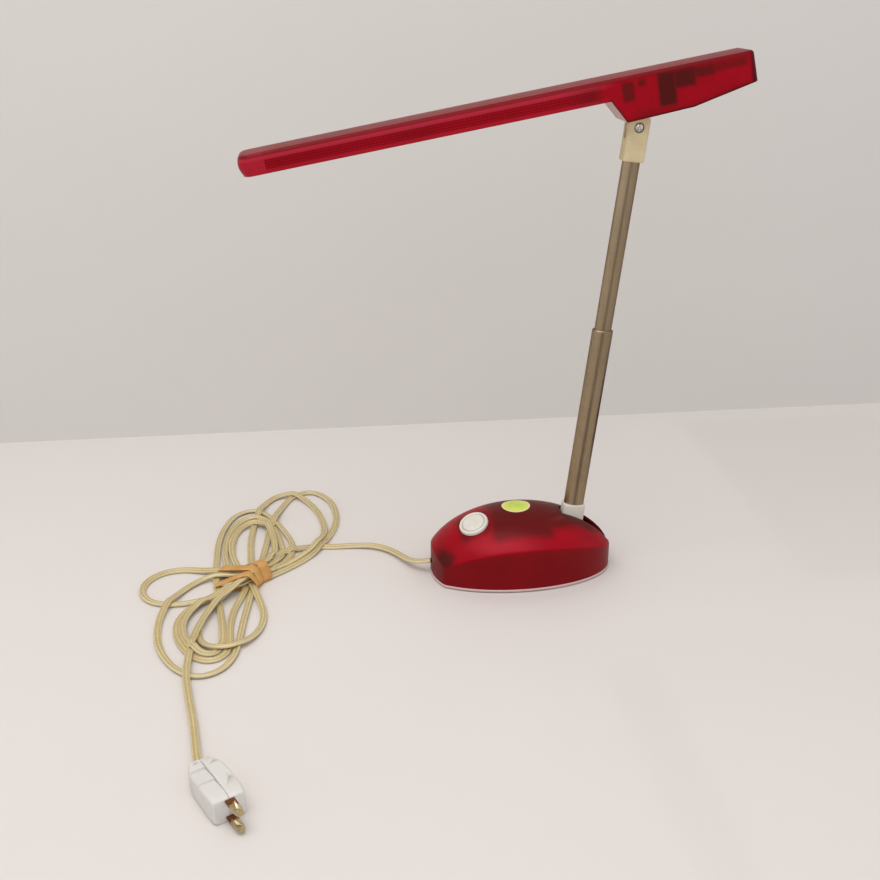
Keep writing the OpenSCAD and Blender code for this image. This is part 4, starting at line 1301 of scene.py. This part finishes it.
class LAMP_OT_lower_arm(Operator):
    """Builds the lower knuckle, the lower tube and its guide ring"""

    bl_idname = "lamp.lower_arm"
    bl_label = "Lower arm"

    def execute(self, context):
        arm = context.scene.lamp_arm
        sections = []
        for height in (-9.4, -9.0, -8.2, -7.0, -5.2, -3.0, 0.0, 4.0, 9.4):
            half = math.sqrt(max(EYE_R**2 - (min(height, 0) * MM) ** 2, 1e-7))
            sections.append(rounded_rect(2 * half, 12.6 * MM, 0.9 * MM, height * MM))
        for height, drawn, radius in ((9.9, 0, 3.0), (14, 0, 3.2), (20, 0.0, 3.4), (27.4, 0.0, 3.6),
                                      (28.3, 0.25, 3.6), (28.8, 0.7, 3.5), (29.0, 1.3, 3.2)):
            sections.append(rounded_rect(
                (19.8 - 2 * drawn) * MM, (14 - 2 * drawn) * MM, radius * MM, height * MM
            ))
        knuckle = piece("collar", *loft(sections), material("Collar plastic"), None, ARM, smooth=40)
        socket = loft([oval(18.1 * MM, 12.5 * MM, 12 * MM), oval(18.1 * MM, 12.5 * MM, 31 * MM)])
        lead_way = moved(round_bar(2.3, -14, 13, 24), Matrix.Translation((-6.2 * MM, 0, 0)))
        carve(knuckle, cross_hole(PIN_R, 40 * MM, ARM), moved(socket, ARM), moved(lead_way, ARM))
        soften(knuckle, 40)
        tube = piece(
            "lower_oval_tube", *hollow_oval(LOWER_W, LOWER_D, arm.wall, 12 * MM, LOWER_TOP), tube_metal(), None, ARM
        )
        ring = [oval(w * MM, d * MM, LOWER_TOP + z * MM) for w, d, z in (
            (16.3, 10.7, -9), (16.3, 10.7, 0), (17.9, 12.3, 0), (18.0, 12.4, 0.3), (17.7, 12.1, 0.8),
            (16.6, 11.2, 1.15), (15.2, 10.2, 1.15), (14.7, 9.7, 0.7), (14.7, 9.7, -9))]
        guide = piece("tube_ring", *loft(ring, round_trip=True), tube_metal(), None, ARM, smooth=50)
        mark_across(tube, LOWER_W)
        for made, covers, slot in ((knuckle, "lower_knuckle", "collar_plastic"),
                                   (tube, "lower_tube", "tube_metal"), (guide, "guide_ring", "tube_metal")):
            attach(made, "arm")
            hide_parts(covers)
        return {"FINISHED"}


class LAMP_OT_upper_arm(Operator):
    """Builds the upper tube, the cream fork and the pivot screw"""

    bl_idname = "lamp.upper_arm"
    bl_label = "Upper arm"

    def execute(self, context):
        arm = context.scene.lamp_arm
        tube = piece(
            "upper_oval_tube", *hollow_oval(UPPER_W, UPPER_D, arm.wall, 156 * MM, 341 * MM), tube_metal(), None, ARM
        )
        foot, top = ARM_LEN - 26.5 * MM, ARM_LEN + 9.5 * MM
        corner = 4.6 * MM
        sections = [rounded_rect(w * MM, d * MM, r * MM, z) for w, d, r, z in (
            (16.3, 12.6, 1.2, foot), (16.9, 13.3, 1.5, foot + 0.4 * MM), (17.3, 13.6, 1.6, foot + 1.2 * MM),
            (17.4, 13.6, 1.6, ARM_LEN - 12 * MM), (17.4, 13.6, 1.6, ARM_LEN - 4 * MM))]
        for k in range(9):
            turn = math.pi / 2 * k / 8
            half = 8.7 * MM - corner * (1 - math.cos(turn))
            sections.append(rounded_rect(2 * half, FORK_DEPTH, 1.4 * MM, top - corner + corner * math.sin(turn)))
        fork = piece("knuckle_fork", *loft(sections), material("Cream plastic"), None, ARM, smooth=40)
        gap = rounded_box(
            (-20 * MM, -2.65 * MM, ARM_LEN - 9.2 * MM), (20 * MM, 2.65 * MM, ARM_LEN + 30 * MM), 0.5 * MM
        )
        recesses = [cross_hole(4.1 * MM, 4.4 * MM, ARM @ Matrix.Translation((0, y, ARM_LEN)))
                    for y in (-FORK_DEPTH / 2, FORK_DEPTH / 2)]
        notch = rounded_box((-11 * MM, -9 * MM, ARM_LEN - 12 * MM), (-8.1 * MM, -4.9 * MM, ARM_LEN - 7 * MM), 0.7 * MM)
        socket = loft([oval(14.7 * MM, 9.7 * MM, foot - 3 * MM), oval(14.7 * MM, 9.7 * MM, foot + 11.5 * MM)])
        carve(
            fork, moved(gap, ARM), *recesses,
            cross_hole(2.05 * MM, 40 * MM, ARM @ Matrix.Translation((0, 0, ARM_LEN))), moved(notch, ARM),
            moved(socket, ARM),
        )
        soften(fork, 40)
        head = [(0, 1.55), (1.6, 1.5), (2.6, 1.25), (3.3, 0.8), (3.55, 0.35), (3.6, 0), (3.6, -0.9), (2.0, -0.9),
                (2.0, -13.4), (0, -13.4)]
        turned = lathe(in_mm(head), 48)
        facing = ARM @ Matrix.Translation((0, -5.9 * MM, ARM_LEN)) @ Matrix.Rotation(math.pi / 2, 4, "X")
        screw = piece("pan_screw", *turned, material("Chrome"), None, facing, smooth=40)
        slots = [rounded_box((-3.0 * MM, -0.5 * MM, 0.5 * MM), (3.0 * MM, 0.5 * MM, 3 * MM), 0.1 * MM),
                 rounded_box((-0.5 * MM, -3.0 * MM, 0.5 * MM), (0.5 * MM, 3.0 * MM, 3 * MM), 0.1 * MM)]
        spin = Matrix.Rotation(math.radians(8), 4, "Z")
        carve(screw, *[moved(s, facing @ spin) for s in slots])
        soften(screw, 35)
        mark_across(tube, UPPER_W)
        for made, covers, slot in ((tube, "upper_tube", "tube_metal"), (fork, "upper_knuckle", "cream_plastic"),
                                   (screw, "pivot_screw", "chrome_screw")):
            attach(made, "upper_arm")
            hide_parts(covers)
        return {"FINISHED"}


# ======================================================================
# Head
# ======================================================================
HEAD_FRONT, HEAD_TAIL, HEAD_W = 309.5 * MM, 94 * MM, 34 * MM
BAR_Z, HEAD_TOP, BOX_Z, TAIL_Z = 25.2 * MM, 41.5 * MM, 7.3 * MM, 18.3 * MM
FACET_X, HEEL_X, KNEE_X = -22 * MM, -11.4 * MM, 41.7 * MM
NOSE_R, TAIL_R = 9 * MM, 4 * MM
PRISM_START = -HEAD_FRONT + 21 * MM
SHADE_SOFT = 2.4 * MM
SHADES = [
    # painted shade where the gear shows dark through the sides, listed rather than worked out from the gear's parts:
    # from and to along the head, from and to up it (mm), and how dark
    (15.0, 29.0, 14.0, 38.5, 1.0), (28.0, 44.5, 25.0, 38.5, 0.95), (44.0, 60.0, 30.0, 38.0, 0.8),
    (60.0, 86.0, 31.5, 38.0, 0.6), (-13.0, -3.5, 22.5, 37.0, 0.78), (-0.6, 5.5, 32.0, 37.0, 0.8),
    (-40.0, -29.0, 27.0, 38.5, 0.4), (-4.0, 14.0, 9.5, 14.5, 0.3),
]


def underside(x):
    """Height of the head's lower edge along its length."""
    stops = [(-HEAD_FRONT, BAR_Z), (FACET_X, BAR_Z), (HEEL_X, BOX_Z), (KNEE_X, BOX_Z + 1.5 * MM), (HEAD_TAIL, TAIL_Z)]
    return float(np.interp(x, [s[0] for s in stops], [s[1] for s in stops]))


def head_outline(inset):
    """Half outline of the head from above, from nose to tail on the +Y side, with points where the side bends."""
    front, tail, half = -HEAD_FRONT + inset, HEAD_TAIL - inset, HEAD_W / 2 - inset
    nose, end = max(NOSE_R - inset, 1 * MM), max(TAIL_R - inset, 0.6 * MM)
    points = []
    for k in range(13):
        a = math.pi / 2 * k / 12
        points.append((front + nose - nose * math.cos(a), half - nose + nose * math.sin(a)))
    stops = [-290 * MM, PRISM_START - 1 * MM, PRISM_START, -250 * MM, -200 * MM, -150 * MM, -100 * MM, -60 * MM,
             FACET_X - 13 * MM, FACET_X - 10 * MM]
    stops += [x * MM for x in np.arange(-30, 89.4, 1.5)]
    stops += [FACET_X, HEEL_X, KNEE_X]
    stops.sort()
    points += [(x, half) for x in stops]
    for k in range(9):
        a = math.pi / 2 * k / 8
        points.append((tail - end + end * math.sin(a), half - end + end * math.cos(a)))
    return points


def head_point(x, y, z):
    """Nose and tail lean: the nose is fullest at half height, and the tail leans in towards its top."""
    share = (z - BAR_Z) / (HEAD_TOP - BAR_Z)
    nose = max(0.0, 1 - (x + HEAD_FRONT) / (12 * MM))
    tail = max(0.0, 1 - (HEAD_TAIL - x) / (10 * MM))
    rise = (z - TAIL_Z) / (HEAD_TOP - TAIL_Z)
    return (x + 2.6 * MM * nose * (2 * share - 1.1) ** 2 - 1.7 * MM * tail * rise, y, z)


def between(value, low, high):
    """1 between two lengths given in millimetres, with soft ends."""
    soft = SHADE_SOFT / 2
    return step(value, low * MM - soft, low * MM + soft) * step(value, high * MM + soft, high * MM - soft)


def shade_at(x, z):
    """How dark the painted shade of the gear is at that place on the sides."""
    return max(dark * between(x, low, high) * between(z, foot, top) for low, high, foot, top, dark in SHADES)


def head_ring(inset, height):
    """Full ring of the head at that inset, each point at the height that height(x) gives."""
    half = head_outline(inset)
    ring = [head_point(x, y, height(x)) for x, y in half]
    return ring + [head_point(x, -y, height(x)) for x, y in reversed(half)]


class LAMP_OT_head_shell(Operator):
    """Builds the long red housing, open underneath, with rounded top edges"""

    bl_idname = "lamp.head_shell"
    bl_label = "Head shell"

    def execute(self, context):
        head = context.scene.lamp_head
        fillet, wall, lip = head.fillet, head.wall, 0.35 * MM
        rings = [head_ring(lip, underside), head_ring(0, lambda x: underside(x) + lip),
                 head_ring(0, lambda x: underside(x) + 1.2 * MM), head_ring(0, lambda x: underside(x) + 2.0 * MM)]
        rings += [head_ring(0, lambda x, s=s: underside(x) + (HEAD_TOP - fillet - underside(x)) * s)
                  for s in np.linspace(0.18, 1.0, 18)]
        for k in range(1, 8):
            turn = math.pi / 2 * k / 7
            rings.append(head_ring(
                fillet * (1 - math.cos(turn)), lambda x, t=turn: HEAD_TOP - fillet * (1 - math.sin(t))
            ))
        inside = []
        for k in range(6, -1, -1):
            turn = math.pi / 2 * k / 7
            inner = fillet - 0.9 * MM
            inside.append(head_ring(
                wall + inner * (1 - math.cos(turn)),
                lambda x, t=turn, r=inner: HEAD_TOP - wall - r * (1 - math.sin(t)),
            ))
        inside += [head_ring(wall, lambda x, s=s: underside(x) + (HEAD_TOP - wall - fillet - underside(x)) * s)
                   for s in (0.6, 0.2)]
        inside += [head_ring(wall, lambda x: underside(x) + lip * 0.5)]
        count = len(rings[0])
        points, faces = join(
            loft(rings, cap_start=False, cap_end=False), loft(inside, cap_start=False, cap_end=False)
        )
        half = count // 2
        roof = (len(rings) - 1) * count
        ceiling = len(rings) * count
        for k in range(half - 1):
            faces.append((roof + k, roof + k + 1, roof + count - 2 - k, roof + count - 1 - k))
            faces.append((ceiling + k + 1, ceiling + k, ceiling + count - 1 - k, ceiling + count - 2 - k))
        foot = len(points) - count
        faces += [(k, (k + 1) % count, foot + (k + 1) % count, foot + k) for k in range(count)]
        shell = piece("head_housing", points, faces, red_plastic(), None, HEAD, smooth=32)
        back = HEAD.inverted()
        local = [back @ v.co for v in shell.data.vertices]
        # painted shade of the gear seen dark through the sides
        mark(shell, "seen", [shade_at(p.x, p.z) for p in local])
        mark(shell, "along", [p.x + p.z for p in local])
        mark(shell, "level", [p.z - p.x for p in local])
        mark(shell, "prism", [
            step(p.x, PRISM_START - 1 * MM, PRISM_START) * step(p.x, FACET_X - 10 * MM, FACET_X - 13 * MM)
            * step(p.z, BAR_Z + 2.6 * MM, BAR_Z + 4.2 * MM) * step(p.z, HEAD_TOP - 4.6 * MM, HEAD_TOP - 6.2 * MM)
            for p in local
        ])
        # painted highlight: bands below the top fillet, along the bar's lower edge and at the nose end
        mark(shell, "blush", [
            max(0.85 * step(p.z, HEAD_TOP - 6.8 * MM, HEAD_TOP - 5 * MM)
                * step(p.z, HEAD_TOP - 1.6 * MM, HEAD_TOP - 3.2 * MM),
                0.3 * step(p.z, BAR_Z + 4.2 * MM, BAR_Z + 2 * MM), 0.45 * step(p.x, PRISM_START, PRISM_START - 1 * MM))
            * step(p.x, FACET_X + 4 * MM, FACET_X - 14 * MM) for p in local
        ])
        # painted shade: dark lines along the box's lower lip, the tail and under the top fillet
        mark(shell, "edge", [
            max(0.85 * step(p.z - underside(p.x), 2.4 * MM, 0.6 * MM) * step(p.x, FACET_X - 2 * MM, FACET_X),
                0.8 * step(p.x, HEAD_TAIL - 6.5 * MM, HEAD_TAIL - 4 * MM),
                0.62 * step(p.z, HEAD_TOP - 3.2 * MM, HEAD_TOP - 1.8 * MM)
                * step(p.z, HEAD_TOP + 1 * MM, HEAD_TOP - 0.8 * MM))
            for p in local
        ])
        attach(shell, "head")
        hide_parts("head_shell")
        return {"FINISHED"}


def prism_panel(origin, along, up, out, length, height, pitch, rise):
    """A panel covered with small four-sided prisms in staggered rows, as points and faces."""
    columns, rows = max(int(length / pitch), 1), max(int(height / pitch), 1)
    pitch_a, pitch_b = length / columns, height / rows
    points, faces = [], []
    for b in range(rows + 1):
        for a in range(columns + 1):
            points.append(origin + along * (a * pitch_a) + up * (b * pitch_b))
    for b in range(rows):
        for a in range(columns):
            corner = b * (columns + 1) + a
            tip = len(points)
            points.append(origin + along * ((a + 0.5) * pitch_a) + up * ((b + 0.5) * pitch_b) + out * rise)
            ring = (corner, corner + 1, corner + columns + 2, corner + columns + 1)
            faces += [(ring[k], ring[(k + 1) % 4], tip) for k in range(4)]
    return points, faces


class LAMP_OT_diffuser(Operator):
    """Builds the prismatic trough under the lamp"""

    bl_idname = "lamp.diffuser"
    bl_label = "Diffuser"

    def execute(self, context):
        head = context.scene.lamp_head
        pitch = head.prism
        half = HEAD_W / 2 - head.wall - 0.1 * MM
        end = FACET_X - 2 * MM
        x, y, z = Vector((1, 0, 0)), Vector((0, 1, 0)), Vector((0, 0, 1))
        length = end - PRISM_START
        low, tall, rise = BAR_Z + 1.8 * MM, 9.0 * MM, 0.55 * MM
        wall = 1.0 * MM
        parts = []
        for side in (-1, 1):
            face = half - rise - 0.05 * MM
            parts.append(prism_panel(
                Vector((PRISM_START, side * face, low)), x, z, y * side, length, tall, pitch, rise
            ))
            parts.append(prism_panel(
                Vector((PRISM_START, side * (face - wall), low)), x, z, -y * side, length, tall, length, 0.0
            ))
            inner = Vector((0, -side * wall, 0))
            for (xa, za), (xb, zb) in (
                ((PRISM_START, low), (end, low)), ((PRISM_START, low + tall), (end, low + tall)),
                ((PRISM_START, low), (PRISM_START, low + tall)), ((end, low), (end, low + tall)),
            ):
                a, b = Vector((xa, side * face, za)), Vector((xb, side * face, zb))
                parts.append(([a, b, b + inner, a + inner], [(0, 1, 2, 3)]))
        floor_low = BAR_Z + 0.2 * MM
        outline = [(px, py) for px, py in head_outline(head.wall + 0.15 * MM) if px < FACET_X - 1 * MM]
        outline[-1] = (end, outline[-1][1])
        ring = outline + [(px, -py) for px, py in reversed(outline)]
        floor = loft([[(px + 0.6 * MM, py, level) for px, py in ring] for level in (floor_low, floor_low + 1.2 * MM)])
        corner = Vector((PRISM_START, -half + 3 * MM, floor_low - 0.02 * MM))
        dots = prism_panel(corner, x, y, -z, length, 2 * half - 6 * MM, pitch, 0.45 * MM)
        trough = piece(
            "prismatic_diffuser", *join(floor, dots, *parts), material("Prism plastic"), "head", HEAD, smooth=20
        )
        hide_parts("diffuser")
        return {"FINISHED"}


# ======================================================================
# Pieces kept from the frame
# ======================================================================
KEPT = {
    # node: its finish and the softening of its edges in mm
    "foot_pad": ("Pad rubber", 0.2), "base_screws": ("Bright steel", 0.2), "base_weight": ("Ballast iron", 1.2),
    "hinge_bracket": ("Red plastic", 0.4), "hinge_pin": ("Bright steel", 0.3),
    "hinge_nut": ("Bright steel", 0.3), "hinge_washers": ("Dark plastic", 0.0),
    "switch_body": ("Dark plastic", 0.6), "terminal_block": ("Dark plastic", 0.8),
    "cord_clamp": ("Dark plastic", 0.8), "arm_lead": ("Lead sheath", 0.0), "tube_glide": ("Glide nylon", 0.0),
    "head_lead": ("Lead sheath", 0.0), "pivot_nut": ("Bright steel", 0.2),
    "pivot_washers": ("Dark plastic", 0.0), "head_cover": ("Pale plastic", 0.25),
    "head_lug": ("Collar plastic", 0.4), "head_screws": ("Bright steel", 0.2), "reflector": ("Reflector", 0.0),
    "lamp_glass": ("Lamp glass", 0.0), "lamp_cap": ("White plastic", 0.8),
    "lamp_holder": ("Holder plastic", 0.8), "gear_board": ("Board laminate", 0.2),
    "choke": ("Gear varnish", 0.8), "film_capacitor": ("Capacitor film", 1.2),
    "power_transistor": ("Dark plastic", 0.4), "gear_coil": ("Gear varnish", 0.8),
    "smoothing_capacitors": ("Gear varnish", 0.7),
}


class LAMP_OT_kept_parts(Operator):
    """Gives the frame's own parts their finishes and softened edges"""

    bl_idname = "lamp.kept_parts"
    bl_label = "Inner parts"

    def execute(self, context):
        for name, (finish_name, round_mm) in KEPT.items():
            part = frame["nodes"][name]
            part.data.materials.clear()
            part.data.materials.append(material(finish_name))
            if round_mm:
                edge = part.modifiers.new("edges", "BEVEL")
                edge.width, edge.segments = round_mm * MM, 2
                edge.limit_method, edge.angle_limit = "ANGLE", math.radians(50)
                edge.harden_normals = False
        return {"FINISHED"}


# ======================================================================
# Studio
# ======================================================================
CAMERA_AT = (-0.1802, -0.8661, 0.4942)
CAMERA_TILT = math.radians(90 - 22.69)
CAMERA_TURN = math.radians(-7.03)
WALL_Y, WALL_TOP = 0.36, 2.4
STAGE_HALF = 4.0         # half width of the table and the wall
REFLECTED_DIM = 0.42     # how much darker reflections see the table and the wall


class LAMP_OT_camera(Operator):
    """Places the camera"""

    bl_idname = "lamp.camera"
    bl_label = "Camera"

    def execute(self, context):
        data = bpy.data.cameras.new("camera")
        data.lens, data.sensor_width = context.scene.lamp_studio.lens, 36.0
        camera = bpy.data.objects.new("camera", data)
        camera.location = CAMERA_AT
        camera.rotation_euler = (CAMERA_TILT, 0.0, CAMERA_TURN)
        context.collection.objects.link(camera)
        context.scene.camera = camera
        return {"FINISHED"}


def level_corners(left, near, right, far, height):
    """Corners of a level rectangle."""
    return [(left, near, height), (right, near, height), (right, far, height), (left, far, height)]


def flat_sheet(name, corners, look):
    """A stage surface of one face."""
    mesh = bpy.data.meshes.new(name)
    mesh.from_pydata(corners, [], [(0, 1, 2, 3)])
    mesh.materials.append(look)
    made = bpy.data.objects.new(name, mesh)
    bpy.context.collection.objects.link(made)
    return made


def wall_paint(colour):
    """Matt paint that is only there from the front, so that a view from behind the wall sees past it."""
    made = finish("Wall paint", colour, [c * 0.97 for c in colour], cloud=2.0, amount=0.6, rough=(0.8, 0.9))
    tree = made.node_tree
    shader, out = tree.nodes["Principled BSDF"], tree.nodes["Material Output"]
    both = node(tree, "MixShader", inputs={
        "Fac": node(tree, "NewGeometry").outputs["Backfacing"],
        1: shader.outputs["BSDF"], 2: node(tree, "BsdfTransparent").outputs["BSDF"],
    })
    tree.links.new(both.outputs["Shader"], out.inputs["Surface"])
    return made


CARD_Z = 4 * MM
DARK_CARDS = [
    # cards that only reflections see: name, left, near, right and far side
    ("front card", 0.035, -0.75, 0.075, -0.16),
    ("right card", 0.26, -0.05, 0.50, 0.33),
]


def dim_in_reflections(look, share):
    """Lets glossy surfaces see a stage surface darker than it is."""
    tree = look.node_tree
    shader = tree.nodes["Principled BSDF"]
    colour = shader.inputs["Base Color"].links[0].from_socket
    level = maths(tree, "MULTIPLY", node(tree, "LightPath").outputs["Is Glossy Ray"], share)
    tree.links.new(mixed(tree, level, colour, (0.0, 0.0, 0.0, 1.0)), shader.inputs["Base Color"])


def area_light(name, place, aim, width, depth, power, colour=(1, 1, 1)):
    """A rectangular light at that place, turned towards its aim."""
    data = bpy.data.lights.new(name, "AREA")
    data.shape, data.size, data.size_y, data.energy, data.color = "RECTANGLE", width, depth, power, colour
    made = bpy.data.objects.new(name, data)
    made.location = place
    made.rotation_euler = (Vector(aim) - Vector(place)).to_track_quat("-Z", "Y").to_euler()
    bpy.context.collection.objects.link(made)
    return made


class LAMP_OT_studio(Operator):
    """Builds the pale table and wall and the soft light"""

    bl_idname = "lamp.studio"
    bl_label = "Studio"

    def execute(self, context):
        studio = context.scene.lamp_studio
        top = finish("Table top", studio.table, [c * 0.97 for c in studio.table], cloud=3.0, amount=0.6,
                     grain=200.0, rough=(0.55, 0.65))
        flat_sheet("table", level_corners(-STAGE_HALF, -STAGE_HALF, STAGE_HALF, WALL_Y, 0), top)
        paint = wall_paint(studio.wall)
        flat_sheet("wall", [(-STAGE_HALF, WALL_Y, 0), (STAGE_HALF, WALL_Y, 0),
                            (STAGE_HALF, WALL_Y, WALL_TOP), (-STAGE_HALF, WALL_Y, WALL_TOP)], paint)
        for surface in (top, paint):
            dim_in_reflections(surface, REFLECTED_DIM)
        area_light("key", (-0.5, -0.5, 1.7), (-0.1, 0.0, 0.1), 1.6, 1.2, studio.key, (1.0, 0.97, 0.93))
        glow = area_light("glow", (-0.10, -0.55, 0.80), (0.0, -0.02, 0.05), 0.9, 0.35, studio.glow)
        glow.visible_diffuse = glow.visible_camera = glow.visible_transmission = False
        for name, *sides in DARK_CARDS:
            card = flat_sheet(name, level_corners(*sides, CARD_Z), material("Card black"))
            card.visible_camera = card.visible_diffuse = card.visible_shadow = card.visible_transmission = False
        world = bpy.data.worlds.new("room")
        world.use_nodes = True
        background = world.node_tree.nodes["Background"]
        background.inputs["Color"].default_value = (0.93, 0.95, 1.0, 1.0)
        background.inputs["Strength"].default_value = studio.sky
        context.scene.world = world
        context.scene.view_settings.view_transform = "Standard"
        return {"FINISHED"}


# ======================================================================
# Add-on
# ======================================================================
OPERATORS = [
    LAMP_OT_camera, LAMP_OT_cord, LAMP_OT_base_shell, LAMP_OT_base_plate, LAMP_OT_switch, LAMP_OT_sticker,
    LAMP_OT_lower_arm, LAMP_OT_upper_arm, LAMP_OT_head_shell, LAMP_OT_diffuser, LAMP_OT_kept_parts, LAMP_OT_studio,
]
SETTINGS = {
    "lamp_base": BaseSettings, "lamp_arm": ArmSettings, "lamp_head": HeadSettings, "lamp_cord": CordSettings,
    "lamp_studio": StudioSettings,
}


class LAMP_PT_sidebar(Panel):
    """Lists the lamp's sizes, colours and pieces."""

    bl_idname = "LAMP_PT_sidebar"
    bl_label = "Desk lamp"
    bl_space_type = "VIEW_3D"
    bl_region_type = "UI"
    bl_category = "Desk lamp"

    def draw(self, context):
        for key, kind in SETTINGS.items():
            box = self.layout.box()
            for prop in kind.__annotations__:
                box.prop(getattr(context.scene, key), prop)
        for operator in OPERATORS:
            self.layout.operator(operator.bl_idname)


CLASSES = [*SETTINGS.values(), *OPERATORS, LAMP_PT_sidebar]


def register():
    for kind in CLASSES:
        bpy.utils.register_class(kind)
    for key, kind in SETTINGS.items():
        setattr(bpy.types.Scene, key, PointerProperty(type=kind))


def unregister():
    for key in SETTINGS:
        delattr(bpy.types.Scene, key)
    for kind in reversed(CLASSES):
        bpy.utils.unregister_class(kind)


def main():
    register()
    for operator in OPERATORS:
        group, name = operator.bl_idname.split(".")
        getattr(getattr(bpy.ops, group), name)()


if __name__ == "__main__":
    main()
